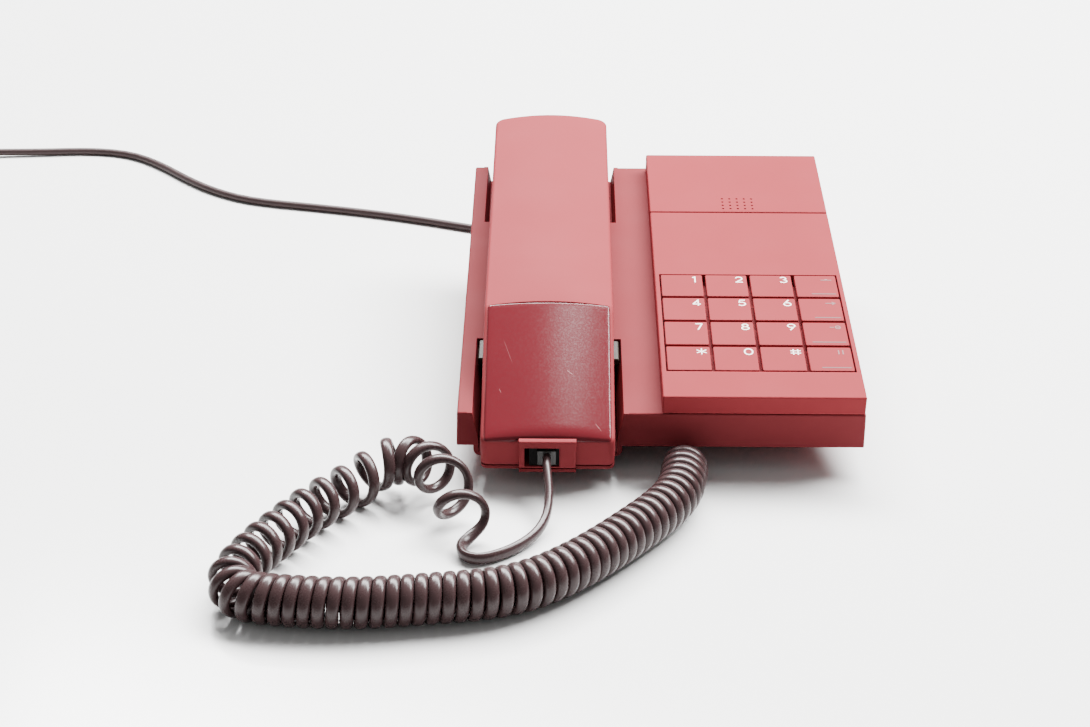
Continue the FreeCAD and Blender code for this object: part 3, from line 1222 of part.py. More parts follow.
def curly_cord():
    """Curly cord as one tube: straight lead from the base, tight curls, a hairpin, and curls that open out."""
    axis = Part.BSplineCurve()
    route = TIGHT_CURL_AXIS + HAIRPIN_AXIS + OPEN_CURL_AXIS + LOOSE_CURL_AXIS
    axis.interpolate([VECTOR(x, y, 0) for x, y in route])
    total = axis.toShape().Length

    def distance_to(point):
        return axis.length(axis.FirstParameter, axis.parameter(VECTOR(point[0], point[1], 0)))

    hairpin_start = distance_to(HAIRPIN_AXIS[0])
    hairpin_end = distance_to(OPEN_CURL_AXIS[0])
    loose_start = distance_to(LOOSE_CURL_AXIS[0])
    rest_height = CURL_RADIUS + WIRE_DIAMETER / 2 + TABLE_CLEARANCE
    ease = 3 * CURL_PITCH

    def pitch(d):
        into_hairpin = smooth_step((d - hairpin_start + ease) / ease)
        out_of_hairpin = smooth_step((d - hairpin_end) / ease)
        value = LEAD_PITCH + (CURL_PITCH - LEAD_PITCH) * smooth_step((d - LEAD_LENGTH) / LEAD_RAMP)
        value += (HAIRPIN_PITCH - CURL_PITCH) * into_hairpin
        value += (OPEN_PITCH - HAIRPIN_PITCH) * out_of_hairpin
        return value + (LOOSE_PITCH - OPEN_PITCH) * smooth_step((d - loose_start) / (total - loose_start))

    def radius(d):
        grown = CURL_RADIUS * smooth_step((d - LEAD_LENGTH) / LEAD_RAMP)
        return grown + (LOOSE_CURL_RADIUS - CURL_RADIUS) * smooth_step((d - hairpin_end) / (total - hairpin_end))

    step = 0.05
    count = int((total - LEAD_LENGTH) / step)
    turns = [0.0]
    for index in range(count):
        turns.append(turns[-1] + step / pitch(LEAD_LENGTH + (index + 0.5) * step))
    shift = -0.25 - turns[-1]

    def along(turn):
        low, high = 0, count
        while high - low > 1:
            middle = (low + high) // 2
            if turns[middle] <= turn:
                low = middle
            else:
                high = middle
        share = (turn - turns[low]) / (turns[high] - turns[low])
        return LEAD_LENGTH + (low + share) * step

    def place(turn):
        d = along(turn)
        parameter = axis.parameterAtDistance(d, axis.FirstParameter)
        centre = axis.value(parameter)
        way = axis.tangent(parameter)[0]
        side = VECTOR(0, 0, 1).cross(way)
        reach = radius(d)
        arch = CURL_ARCH * smooth_step((d - loose_start) / ease) * smooth_step((total - d) / ease)
        start_blend = smooth_step((d - LEAD_LENGTH) / LEAD_RAMP)
        end_blend = smooth_step((d - hairpin_end) / (total - hairpin_end))
        height = BASE_PLUG_Z + (rest_height - BASE_PLUG_Z) * start_blend
        height += (LOOSE_CURL_RADIUS - CURL_RADIUS) * end_blend + arch
        angle = 2 * math.pi * (turn + shift)
        return centre + side * (reach * math.cos(angle)) + VECTOR(0, 0, height + reach * math.sin(angle))

    half_turns = int(turns[-1] * 2)
    first = turns[-1] - half_turns / 2
    stations = [max(first, 0.02)] + [first + index / 2 for index in range(1, half_turns)] + [turns[-1] - 0.002]
    edges = wound_edges(place, stations)
    start = edges[0].valueAt(edges[0].FirstParameter)
    lead_start = VECTOR(BASE_SOCKET_X, STAND_FRONT - BASE_PLUG_OUT, BASE_PLUG_Z)
    lead_way = VECTOR(0, -1, 0)
    start_way = edges[0].tangentAt(edges[0].FirstParameter)
    lead_turn = lead_start + lead_way * WIRE_DIAMETER
    lead = [Part.LineSegment(lead_start, lead_turn).toShape()] + biarc(lead_turn, lead_way, start, start_way)
    end = edges[-1].valueAt(edges[-1].LastParameter)
    end_way = edges[-1].tangentAt(edges[-1].LastParameter)
    tail_end = end + end_way * WIRE_DIAMETER
    whole = lead + edges + [Part.LineSegment(end, tail_end).toShape()]
    least_gap(whole, WIRE_DIAMETER, "curly cord")
    print("curly cord turns", round(turns[-1], 1), "end", tail_end)
    return sweep(whole, WIRE_DIAMETER, WIRE_SIDES, "curly cord"), tail_end, end_way


def cord_tail(curl_end, curl_way):
    """Plain end of the handset cord, from the handset's plug to the first curl."""
    plug_end = VECTOR(*deck_to_table(PLUG_X, JACK_FACE - PLUG_EXIT_PROUD, PLUG_Z))
    first = deck_to_table(PLUG_X, JACK_FACE - PLUG_EXIT_PROUD - TAIL_EXIT_RUN, PLUG_Z)
    last = curl_end + curl_way * (2 * WIRE_DIAMETER)
    points = [tuple(plug_end), first] + TAIL_POINTS + [tuple(last), tuple(curl_end)]
    return sweep(rounded_route(points, "cord tail"), WIRE_DIAMETER, WIRE_SIDES, "cord tail")


def line_gland_end():
    """Middle of the gland's tip."""
    return (GLAND_X, STAND_BACK + GLAND_COLLAR + GLAND_LENGTH, GLAND_Z)


def loop_place(turn):
    """Point of the put-away coil after a number of turns: it spirals in and out, layer on layer."""
    layer_turns = LOOP_TURNS_PER_LAYER
    layer = int(turn // layer_turns)
    into = turn - layer * layer_turns
    share = into if layer % 2 == 0 else layer_turns - into
    reach = LOOP_OUTER_RADIUS - LOOP_STEP * share
    height = LOOP_FIRST_HEIGHT
    for climb in range(1, 4):
        height += LOOP_LAYER_STEP * smooth_step((turn - climb * layer_turns + 0.25) / 0.5)
    angle = math.pi / 2 + 2 * math.pi * turn
    return VECTOR(LOOP_CENTRE[0] + reach * math.cos(angle), LOOP_CENTRE[1] + reach * math.sin(angle), height)


def line_coil():
    """Coil of the line cord's spare length, with the plug's straight run at its end."""
    last = 3 * LOOP_TURNS_PER_LAYER + LOOP_LAST_TURNS
    count = int(last * 2)
    stations = [0.001] + [index / 2 for index in range(1, count)] + [last]
    edges = wound_edges(loop_place, stations)
    start = edges[0].valueAt(edges[0].FirstParameter)
    start_way = edges[0].tangentAt(edges[0].FirstParameter)
    entry = start - start_way * LINE_DIAMETER
    end = edges[-1].valueAt(edges[-1].LastParameter)
    end_way = edges[-1].tangentAt(edges[-1].LastParameter)
    run_end = end + end_way * LOOP_END_RUN + VECTOR(0, 0, LOOP_END_RISE)
    run_way = VECTOR(end_way.x, end_way.y, 0).normalize()
    final = run_end + run_way * LINE_DIAMETER
    whole = [Part.LineSegment(entry, start).toShape()] + edges
    whole += biarc(end, end_way, run_end, run_way) + [Part.LineSegment(run_end, final).toShape()]
    least_gap(whole, LINE_DIAMETER, "line coil")
    return sweep(whole, LINE_DIAMETER, LINE_SIDES, "line coil"), entry, start_way, final, run_way


def line_cord(entry, entry_way):
    """Free stretch of the line cord from the gland to the coil."""
    x, y, z = line_gland_end()
    first = (x, y + LINE_EXIT_RUN, z)
    before = entry - entry_way * (4 * LINE_DIAMETER)
    points = [(x, y, z), first] + LINE_POINTS + [tuple(before), tuple(entry)]
    return sweep(rounded_route(points, "line cord"), LINE_DIAMETER, LINE_SIDES, "line cord")


def line_plug(end, way):
    """Modular plug at the line cord's end, lying on the coil."""
    body = block(-LINE_PLUG_WIDTH / 2, LINE_PLUG_WIDTH / 2, 0, LINE_PLUG_LENGTH,
                 -LINE_PLUG_HEIGHT / 2, LINE_PLUG_HEIGHT / 2)
    latch = block(-LATCH_WIDTH / 2, LATCH_WIDTH / 2, LINE_PLUG_LENGTH - LATCH_LENGTH, LINE_PLUG_LENGTH,
                  LINE_PLUG_HEIGHT / 2, LINE_PLUG_HEIGHT / 2 + LATCH_HEIGHT)
    shape = body.fuse(latch).removeSplitter()
    shape.rotate(VECTOR(0, 0, 0), VECTOR(0, 0, 1), math.degrees(math.atan2(way.y, way.x)) - 90)
    shape.translate(end)
    return shape


def cord_tie():
    """Strap loop round the coil's turns, on the side away from the telephone."""
    outer = LOOP_OUTER_RADIUS + LINE_DIAMETER / 2 + TIE_CLEARANCE
    inner = LOOP_OUTER_RADIUS - LOOP_STEP * LOOP_TURNS_PER_LAYER - LINE_DIAMETER / 2 - TIE_CLEARANCE
    low = LOOP_FIRST_HEIGHT - LINE_DIAMETER / 2 - TIE_CLEARANCE
    high = LOOP_FIRST_HEIGHT + 3 * LOOP_LAYER_STEP + LINE_DIAMETER / 2 + TIE_CLEARANCE
    x, y = LOOP_CENTRE
    half = TIE_WIDTH / 2
    thick = TIE_THICKNESS
    band = block(x - half, x + half, y - outer - thick, y - inner + thick, low - thick, high + thick)
    return band.cut(block(x - half - OVER, x + half + OVER, y - outer, y - inner, low, high))


for piece in (base_housing, base_plate, main_board, keypad_panel, key_mat, keypad_board, ringer_cover, ringer,
              base_screws, hook_flap, hook_switch, hook_spring, handset_upper_shell, handset_lower_shell,
              mouth_cover, receiver_capsule, microphone, handset_weight, handset_screws, handset_jack):
    save(piece.__name__, tilt(piece()))
for piece in (desk_stand, rubber_feet, base_cord_socket, line_cord_gland, cord_tie):
    save(piece.__name__, piece())
for row, names in enumerate(KEY_NAMES):
    for column, name in enumerate(names):
        save(name, tilt(key(column, row)))
save("handset_plug", tilt(plug(PLUG_X, JACK_FACE - PLUG_EXIT_PROUD, PLUG_Z, 1)))
save("base_cord_plug", plug(BASE_SOCKET_X, STAND_FRONT - BASE_PLUG_OUT, BASE_PLUG_Z, 1))
curls, curl_end, curl_way = curly_cord()
save("handset_cord_curls", curls)
save("handset_cord_tail", cord_tail(curl_end, curl_way))
coil, coil_entry, coil_way, coil_end, plug_way = line_coil()
save("line_cord_coil", coil)
save("line_cord", line_cord(coil_entry, coil_way))
save("line_plug", line_plug(coil_end, plug_way))
print("deck front", round(DECK_FRONT_Y, 3))
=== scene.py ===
"""Looks of a red push-button desk telephone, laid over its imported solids.

The telephone stands on a table: a tilted base with a raised key panel on the right and a handset that
lies along the left side, a curly cord in front and a plain line cord behind.
"""

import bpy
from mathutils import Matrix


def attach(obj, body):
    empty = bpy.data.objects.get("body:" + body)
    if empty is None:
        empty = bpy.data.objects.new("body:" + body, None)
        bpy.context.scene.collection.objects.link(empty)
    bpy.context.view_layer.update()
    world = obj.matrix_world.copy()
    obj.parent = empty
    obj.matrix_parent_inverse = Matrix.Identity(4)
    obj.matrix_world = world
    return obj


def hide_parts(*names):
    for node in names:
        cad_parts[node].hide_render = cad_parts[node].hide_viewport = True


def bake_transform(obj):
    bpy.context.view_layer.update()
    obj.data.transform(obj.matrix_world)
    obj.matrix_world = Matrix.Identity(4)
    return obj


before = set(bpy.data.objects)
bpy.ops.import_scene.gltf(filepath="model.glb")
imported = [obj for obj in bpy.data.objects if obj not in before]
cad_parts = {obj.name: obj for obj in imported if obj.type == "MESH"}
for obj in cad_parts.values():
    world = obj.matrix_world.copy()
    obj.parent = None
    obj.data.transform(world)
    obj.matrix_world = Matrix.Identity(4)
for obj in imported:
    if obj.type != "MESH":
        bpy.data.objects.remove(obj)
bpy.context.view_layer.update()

import math

import bpy
import numpy as np
from mathutils import Matrix

bl_info = {
    "name": "Desk Telephone",
    "version": (1, 0, 0),
    "blender": (4, 5, 0),
    "location": "View3D > Sidebar > Telephone",
    "description": "Builds the looks of a push-button desk telephone over its packed solids",
    "category": "Object",
}

MM = 0.001
TINY = 1e-9

# Deck frame: X to the right, Y back along the sloping deck, Z out of it, from the deck's front edge
DECK_TILT = math.radians(8.0)
DECK_FRONT_Y = -99.657 * MM
DECK_FRONT_Z = 27.7 * MM
TILT_COS = math.cos(DECK_TILT)
TILT_SIN = math.sin(DECK_TILT)

# Handset, in the deck frame
HANDSET_X = -45.9 * MM
HANDSET_HALF = 27.0 * MM
HANDSET_FRONT = -14.0 * MM
HANDSET_BACK = 217.6 * MM
HANDSET_EDGE_TOP = 19.8 * MM
HANDSET_CROWN = 2.2 * MM
HANDSET_FRONT_TOP = -3.9 * MM
CREASE_Y = 49.4 * MM
LEDGE_CROWN = 0.02 * MM
PARTING_ALONG = np.array([33.5, 36.5, 155.0, 158.0, 206.2, 218.6]) * MM
PARTING_HEIGHT = np.array([-15.25, 3.0, 3.0, -5.5, -5.5, 5.91]) * MM
GRIP_STATIONS = np.array([60.0, 80.0, 105.0, 130.0, 150.0, 154.0, 156.0, 159.0, 175.0, 195.0, 205.0]) * MM
NEAR_SLOPE = (HANDSET_EDGE_TOP - HANDSET_FRONT_TOP) / (CREASE_Y - HANDSET_FRONT)

# Jack boss on the handset's front face, and the opening in it
BOSS_HALF = 11.45 * MM
BOSS_FACE = -16.2 * MM
BOSS_TOP = -2.3 * MM
BOSS_BOTTOM = PARTING_HEIGHT[0]
BOSS_RIM_SHARE = 0.3
OPENING_LEFT = -55.2 * MM
OPENING_RIGHT = -41.15 * MM
OPENING_BOTTOM = -14.7 * MM
OPENING_TOP = -5.5 * MM
OPENING_BACK = -2.3 * MM

# Mouth cover on the handset's sloping near end
COVER_HALF = 25.6 * MM
COVER_FRONT = -13.95 * MM
COVER_BACK = 48.9 * MM
COVER_SEAT = 0.05 * MM
COVER_EDGE = 0.9 * MM
COVER_CROWN = 1.7 * MM
COVER_ROLL = 4.5 * MM
COVER_DROP = 0.55

# Scratches on the mouth cover: start and end on the table in millimetres, and strength
COVER_SCRATCHES = [
    (-64.7, -70.1, -60.3, -82.4, 0.2),
    (-38.7, -84.5, -35.4, -87.1, 0.7),
    (-65.8, -92.0, -64.9, -94.2, 0.4),
    (-27.0, -106.6, -24.2, -110.0, 0.5),
]
SCRATCH_HALF = 0.1 * MM
SCRATCH_CORE = 0.4
SCRATCH_TAPER = 0.3
SCRATCH_TONE = (0.45, 0.22, 0.22)

# Sound holes in the ringer cover, in the deck frame
GRILLE_MIDDLE = (41.3 * MM, 158.1 * MM)
GRILLE_HALF = (9.0 * MM, 9.6 * MM)
GRILLE_FIRST = (34.4 * MM, 150.4 * MM)
GRILLE_PITCH = (3.4 * MM, 3.03 * MM)
GRILLE_COUNT = (5, 4)
GRILLE_HOLE = 0.42 * MM
GRILLE_SOFT = 0.12 * MM
GRILLE_DEPTH = 0.4 * MM
GRILLE_STEPS = 140
LID_TOP = 8.6 * MM
LID_PROUD = 0.02 * MM
LID_DEPTH = 1.4 * MM

# Key grid and the marks printed on the keys, in the deck frame
KEY_ROWS = [
    ["key_star", "key_0", "key_hash", "key_redial"],
    ["key_7", "key_8", "key_9", "key_mute"],
    ["key_4", "key_5", "key_6", "key_store"],
    ["key_1", "key_2", "key_3", "key_flash"],
]
GRID_LEFT = 2.3 * MM
GRID_FRONT = 18.0 * MM
KEY_PITCH_X = 19.5 * MM
KEY_PITCH_Y = 18.67 * MM
KEY_GAP = 1.4 * MM
KEY_TOP = 8.8 * MM
MARK_IN = 3.5 * MM
MARK_DOWN = 1.3 * MM
MARK_THIN = 0.45 * MM
THIN_MARKS = ("key_star", "key_hash")
MARK_PROUD = 0.02 * MM
MARK_SINK = 0.2 * MM
SIGN_HEIGHT = 4.4 * MM
SIGN_STROKE = 0.5 * MM
SIGN_DOWN = 1.5 * MM
BAR_LENGTHS = {"key_flash": 10.5 * MM, "key_store": 11.0 * MM, "key_mute": 14.0 * MM, "key_redial": 12.0 * MM}
BAR_STROKE = 0.7 * MM
BAR_TONE = 0.7
BAR_IN = 1.2 * MM
BAR_UP = 2.4 * MM
CAP_BOTTOM = 6.4 * MM
SKIRT_INSET = 1.5 * MM
SKIRT_BOTTOM = 1.9 * MM
SKIRT_EDGE_SHARE = 0.25

# Curly cord: the line of its axis on the table, then the size and spacing of its turns along it
TIGHT_AXIS = np.array([
    (10.5, -81.5), (10.5, -92.0), (10.2, -101.0), (9.4, -110.0), (6.0, -130.0), (-10.6, -157.0),
    (-36.4, -186.0), (-58.0, -201.0), (-87.0, -207.5), (-112.0, -210.5), (-134.0, -210.0), (-148.0, -208.2),
]) * MM
HAIRPIN_AXIS = np.array([(-155.5, -205.4), (-159.6, -198.6), (-159.0, -190.0), (-156.4, -183.0)]) * MM
OPEN_AXIS = np.array([(-154.0, -176.5), (-148.0, -165.0), (-140.0, -150.5), (-130.5, -137.5)]) * MM
LOOSE_AXIS = np.array([
    (-121.5, -127.0), (-112.5, -118.8), (-102.5, -115.2), (-94.2, -118.6), (-87.2, -129.0), (-81.5, -142.0),
    (-77.5, -152.5),
]) * MM
CURL_RADIUS = 7.95 * MM
LOOSE_RADIUS = 8.8 * MM
CURL_PITCH = 5.0 * MM
CURL_EASE = 3 * CURL_PITCH
HAIRPIN_PITCH = 8.4 * MM
OPEN_PITCH = 11.5 * MM
LOOP_PITCH = 8.8 * MM
LOOSE_PITCH = 27.0 * MM
LAST_PITCH = 7.0 * MM

# Spacing of the loose loops at shares of the loose length, and how their rings turn to face along the axis
LOOP_SHARES = (0.0, 0.25, 0.5, 0.75, 0.88, 1.0)
LOOP_PITCHES = (OPEN_PITCH, LOOP_PITCH, LOOP_PITCH, LOOSE_PITCH, LOOSE_PITCH, LAST_PITCH)
TURN_WINDOW = 20.0 * MM
LOOSE_AHEAD = 14.0 * MM

# Start of the curls at the base's plug, their height over the table and the section of the wire
LEAD_LENGTH = 13.0 * MM
LEAD_RAMP = 18.0 * MM
LEAD_PITCH = 15.0 * MM
LEAD_POINTS = 4
CURL_ARCH = 4.0 * MM
CURL_REST = 9.8 * MM
BASE_PLUG_EXIT = np.array([10.5, -80.66, 8.5]) * MM
POINTS_PER_TURN = 16
WIRE_POWER = 2.25

# Plain tail of the handset cord: places from its plug to the last curl, and which way its thin side faces
TAIL_EXIT = np.array([-46.25, -111.4, 15.75]) * MM
TAIL_ROUTE = np.array([
    (-46.25, -114.5, 15.3, 1.0, 0.0, 0.0),
    (-46.2, -119.2, 14.5, 1.0, 0.0, 0.0),
    (-45.6, -126.0, 12.0, 1.0, 0.0, 0.0),
    (-45.0, -134.5, 8.2, 1.0, -0.1, 0.0),
    (-46.2, -144.0, 5.0, 0.95, -0.3, 0.0),
    (-49.8, -152.5, 3.4, 0.85, -0.5, 0.0),
    (-56.0, -160.5, 2.9, 0.7, -0.7, 0.0),
    (-63.5, -166.8, 2.8, 0.45, -0.9, 0.0),
    (-71.5, -170.6, 2.8, -0.2, -1.0, 0.0),
    (-77.6, -167.8, 2.8, -0.75, -0.65, -0.1),
    (-79.0, -161.2, 3.0, -0.9, 0.1, -0.4),
    (-75.4, -155.6, 3.6, -0.2, 0.3, -0.9),
    (-70.4, -151.2, 6.4, 0.7, 0.2, -0.6),
])

# Line cord behind the telephone, and the coil of its spare length
LINE_EXIT = np.array([-50.0, 108.95, 10.0]) * MM
LINE_POINTS = np.array([
    (-50.0, 116.95, 10.0), (-50.8, 125.4, 8.2), (-54.2, 134.0, 4.4), (-61.5, 142.5, 2.4),
    (-73.0, 149.0, 2.1), (-89.0, 155.0, 2.1), (-113.0, 164.5, 2.1), (-141.0, 174.0, 2.1),
    (-176.0, 183.0, 2.1), (-207.0, 190.0, 2.1), (-228.0, 202.0, 2.1), (-247.0, 219.5, 2.1),
    (-268.0, 244.5, 2.1), (-288.0, 261.5, 2.1), (-312.0, 266.5, 2.1), (-340.0, 263.5, 2.3),
    (-373.0, 261.0, 2.9),
]) * MM
COIL_CENTRE = np.array([-402.0, 229.0]) * MM
COIL_OUTER = 31.0 * MM
COIL_STEP = 4.5 * MM
COIL_LAYER_TURNS = 3.0
COIL_TURNS = 10.5
COIL_FIRST_HEIGHT = 3.7 * MM
COIL_RUN = 10.0 * MM
COIL_RISE = 1.6 * MM
COIL_END_STRAIGHT = 4.0 * MM
COIL_CLIMB = 0.5
COIL_RUN_IN = 16.0 * MM

# Camera, in the photograph's frame of 1090 by 727
CAMERA_PLACE = (-42.65 * MM, -794.32 * MM, 399.14 * MM)
CAMERA_PITCH = math.radians(26.668)
CAMERA_ROLL = math.radians(0.212)
CAMERA_YAW = math.radians(0.370)
SENSOR_WIDTH = 36.0
LENS = 64.40
CLIP_RANGE = (0.01, 100.0)

# Stage: the table's size, the room's light, and each soft light's place, size and power
TABLE_HALF = 4.0
TABLE_STEPS = 9
ROOM_STRENGTH = 0.42
SOFT_LIGHTS = {
    "back_softbox": ((0.5, 1.12, 1.9), (3.6, 0.9), 690.0),
    "top_softbox": ((0.15, 0.27, 2.15), (0.25, 0.3), 7.0),
}

# How finely surfaces are stepped, which points count as one, and the angles past which edges are sharp
MERGE_STEP = 0.001 * MM
SHARP_ANGLE = 35.0
CORD_CREASE = 60.0
WALL_STEPS = 7
SHOULDER_STEPS = 8
CROWN_STEPS = 33
UNDER_STEPS = 15
FRONT_STEPS = 10
LIP_STEPS = 5
BACK_STEPS = 14
NEAR_STEPS = 16
RIM_STEPS = 6
AXIS_STEPS = 6000
TURN_STEPS = 12000
CORD_STEPS = 3
WIRE_SIDES = 16
LINE_BEVEL_STEPS = 4

# Most of a plate's height that its rounded rim may take
RIM_SHARE = 0.9

# Finishes: roughness, gloss, refraction, depth of grain and the colours of hidden pieces
MOULDED_ROUGHNESS = 0.62
MOULDED_GLOSS = 0.03
# Housing's red as a share of the shell's: a darker copy, painted shade on the base's strip and front faces
HOUSING_SHADE_TONE = 0.71
UNDERSIDE_TONE = 0.85
UNDERSIDE_ROUGHNESS = 0.5
# Radius of the paler edges, which are partly wear and partly a painted highlight
WEAR_AND_HIGHLIGHT_RADIUS = 0.5 * MM
COVER_ROUGHNESS = 0.2
COVER_GLOSS = 0.12
COVER_SPARKLE = 0.3
CURL_ROUGHNESS = 0.27
LINE_ROUGHNESS = 0.5
CORD_GLOSS = 0.22
RUBBER_ROUGHNESS = 0.72
LACQUER_ROUGHNESS = 0.35
INK_ROUGHNESS = 0.45
INK_GLOSS = 0.05
NUMBER_COVER = 0.9
SIGN_COVER = 0.7
BAR_COVER = 0.4
CLEAR_ROUGHNESS = 0.18
CLEAR_GLOSS = 0.25
CLEAR_IOR = 1.58
PLASTIC_IOR = 1.5
TABLE_ROUGHNESS = 0.16
TABLE_IOR = 1.4
GRAIN_DEPTH = 0.03 * MM
SMOOTH_DEPTH = 0.02 * MM
RUBBER_DEPTH = 0.05 * MM
METAL_DEPTH = 0.01 * MM
FOOT_BLACK = (0.03, 0.03, 0.03)
MAT_GREY = (0.06, 0.04, 0.04)
TIE_GREY = (0.04, 0.035, 0.035)
STEEL_GREY = (0.6, 0.58, 0.55)
CAPSULE_GREY = (0.55, 0.55, 0.54)
BOARD_GREEN = (0.05, 0.16, 0.07)

# Solids that show as they were packed, by finish
FINISHED_NODES = {
    "housing": ["base_housing", "handset_lower_shell"],
    "panel": ["keypad_panel", "ringer_cover"],
    "under": ["base_plate", "desk_stand"],
    "flap": ["hook_flap"],
    "dark": [
        "hook_switch", "ringer", "receiver_capsule", "handset_jack", "base_cord_socket", "line_cord_gland",
    ],
    "plug": ["handset_plug", "base_cord_plug", "line_plug"],
    "rubber": ["rubber_feet"],
    "mat": ["key_mat"],
    "tie": ["cord_tie"],
    "steel": ["hook_spring", "base_screws", "handset_screws", "handset_weight"],
    "can": ["microphone"],
    "board": ["keypad_board", "main_board"],
}


def smooth_step(t):
    """Ease from 0 to 1: 3t^2 - 2t^3 on t held between 0 and 1."""
    t = np.clip(t, 0.0, 1.0)
    return t * t * (3 - 2 * t)


def on_table(points):
    """Deck-frame points in the table frame: turned by the deck's tilt about X, then set at its front edge."""
    x, along, out = np.moveaxis(np.asarray(points, float), -1, 0)
    y = DECK_FRONT_Y + along * TILT_COS - out * TILT_SIN
    z = DECK_FRONT_Z + along * TILT_SIN + out * TILT_COS
    return np.stack([x, y, z], axis=-1)


def unit(vectors):
    """Vectors scaled to length one."""
    return vectors / np.linalg.norm(vectors, axis=-1, keepdims=True)


def quarter_turn(steps):
    """Even angles over a quarter circle."""
    return np.linspace(0, np.pi / 2, steps)


def grid_faces(shape, wrap):
    """Four-cornered faces of a rows by columns grid; wrap joins the last column to the first."""
    index = np.arange(shape[0] * shape[1]).reshape(shape[:2])
    if wrap:
        index = np.concatenate([index, index[:, :1]], axis=1)
    corners = [index[:-1, :-1], index[:-1, 1:], index[1:, 1:], index[1:, :-1]]
    return np.stack(corners, axis=-1).reshape(-1, 4)


def signed_volume(points, quads):
    """Six times the volume inside faces that point outwards, from each face's two triangles."""
    a, b, c, d = (points[quads[:, k]] for k in range(4))
    return np.einsum("ij,ij->", a, np.cross(b, c)) + np.einsum("ij,ij->", a, np.cross(c, d))


def surface_mesh(name, grids, wrap=True, crease=SHARP_ANGLE):
    """Mesh of one or more closed grids of points: doubles merged, faces out, sharp past the crease angle."""
    points_list, quads_list = [], []
    start = 0
    for grid in grids:
        points = np.asarray(grid, float).reshape(-1, 3)
        quads = grid_faces(grid.shape, wrap)
        if signed_volume(points, quads) < 0:
            quads = quads[:, ::-1]
        points_list.append(points)
        quads_list.append(quads + start)
        start += len(points)
    points = np.concatenate(points_list)
    quads = np.concatenate(quads_list)
    keys = np.round(points / MERGE_STEP).astype(np.int64)
    first, same = np.unique(keys, axis=0, return_index=True, return_inverse=True)[1:]
    points, quads = points[first], same.reshape(-1)[quads]
    doubled = quads == np.roll(quads, -1, axis=1)
    folded = (quads[:, 0] == quads[:, 2]) | (quads[:, 1] == quads[:, 3])
    whole = (doubled.sum(axis=1) == 0) & ~folded
    cut = (doubled.sum(axis=1) == 1) & ~folded
    triangles = quads[cut][~doubled[cut]].reshape(-1, 3)
    mesh = bpy.data.meshes.new(name)
    fill_mesh(mesh, points, quads[whole], triangles)
    mesh.shade_smooth()
    mesh.set_sharp_from_angle(angle=math.radians(crease))
    return mesh


def fill_mesh(mesh, points, quads, triangles):
    """Put points, four-cornered faces and triangles into an empty mesh as whole arrays."""
    loops = np.concatenate([quads.reshape(-1), triangles.reshape(-1)]).astype(np.int32)
    sizes = np.concatenate([np.full(len(quads), 4), np.full(len(triangles), 3)]).astype(np.int32)
    mesh.vertices.add(len(points))
    mesh.vertices.foreach_set("co", points.astype(np.float32).reshape(-1))
    mesh.loops.add(len(loops))
    mesh.loops.foreach_set("vertex_index", loops)
    mesh.polygons.add(len(sizes))
    mesh.polygons.foreach_set("loop_start", (np.cumsum(sizes) - sizes).astype(np.int32))
    mesh.update(calc_edges=True)
    mesh.validate()


def add_piece(name, data, material, body=None, replaces=()):
    """Object at the origin that shows a mesh or curve with one material and rides on a body."""
    piece = bpy.data.objects.new(name, data)
    bpy.context.scene.collection.objects.link(piece)
    data.materials.append(material)
    if body:
        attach(piece, body)
    if replaces:
        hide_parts(*replaces)
    return piece


def rounded_outline(half_x, half_y, radius, per_side, per_corner):
    """Rounded rectangle round the origin: four straight sides, each followed by a quarter circle."""
    turn = quarter_turn(per_corner + 1)[1:]
    run = np.linspace(-1, 1, per_side)
    sides = []
    for quarter, (length, depth) in enumerate([(half_y, half_x), (half_x, half_y)] * 2):
        straight = np.stack([np.full(per_side, depth), run * (length - radius)], axis=-1)
        round_x = depth - radius + radius * np.cos(turn)
        round_y = length - radius + radius * np.sin(turn)
        side = np.concatenate([straight, np.stack([round_x, round_y], axis=-1)])
        c, s = np.round(math.cos(quarter * np.pi / 2)), np.round(math.sin(quarter * np.pi / 2))
        sides.append(side @ np.array([[c, s], [-s, c]]))
    return np.concatenate(sides)


def plate_rings(half_x, half_y, corner, edge, top, seat, per_side, per_corner, inner):
    """Plate with a rounded rim, as rings of a rounded rectangle.

    Ring after ring runs out along the seat, up the wall, over the rim's quarter circle of radius edge and in
    over the top; top(x, y) and seat(x, y) give the heights, and the rim is the top less the circle's fall.
    """
    reach = min(half_x, half_y)
    quarter = quarter_turn(RIM_STEPS)
    rim = edge * (1 - np.sin(np.pi / 2 - quarter))
    insets = np.concatenate([[reach, 0.0], rim, np.linspace(edge, reach, inner)[1:]])
    falls = np.concatenate([[0.0, 0.0], edge * (1 - np.sin(quarter)), np.zeros(inner - 1)])
    rings = []
    for count, (inset, fall) in enumerate(zip(insets, falls)):
        radius = max(min(corner - inset, half_x - inset, half_y - inset), 0.0)
        outline = rounded_outline(half_x - inset, half_y - inset, radius, per_side, per_corner)
        x, y = outline.T
        rise = top(x, y) - seat(x, y)
        height = seat(x, y) if count < 2 else top(x, y) - fall / edge * np.minimum(edge, RIM_SHARE * rise)
        rings.append(np.stack([x, y, height], axis=-1))
    return np.stack(rings)


def nurbs_curve(name, controls):
    """Curve of order 3 that the controls pull, from the first of them to the last."""
    curve = bpy.data.curves.new(name, "CURVE")
    curve.dimensions = "3D"
    curve.resolution_u = CORD_STEPS
    spline = curve.splines.new("NURBS")
    spline.points.add(len(controls) - 1)
    weighted = np.c_[controls, np.ones(len(controls))]
    spline.points.foreach_set("co", weighted.astype(np.float32).reshape(-1))
    spline.order_u = 3
    spline.use_endpoint_u = True
    spline.resolution_u = CORD_STEPS
    spline.use_smooth = True
    return curve


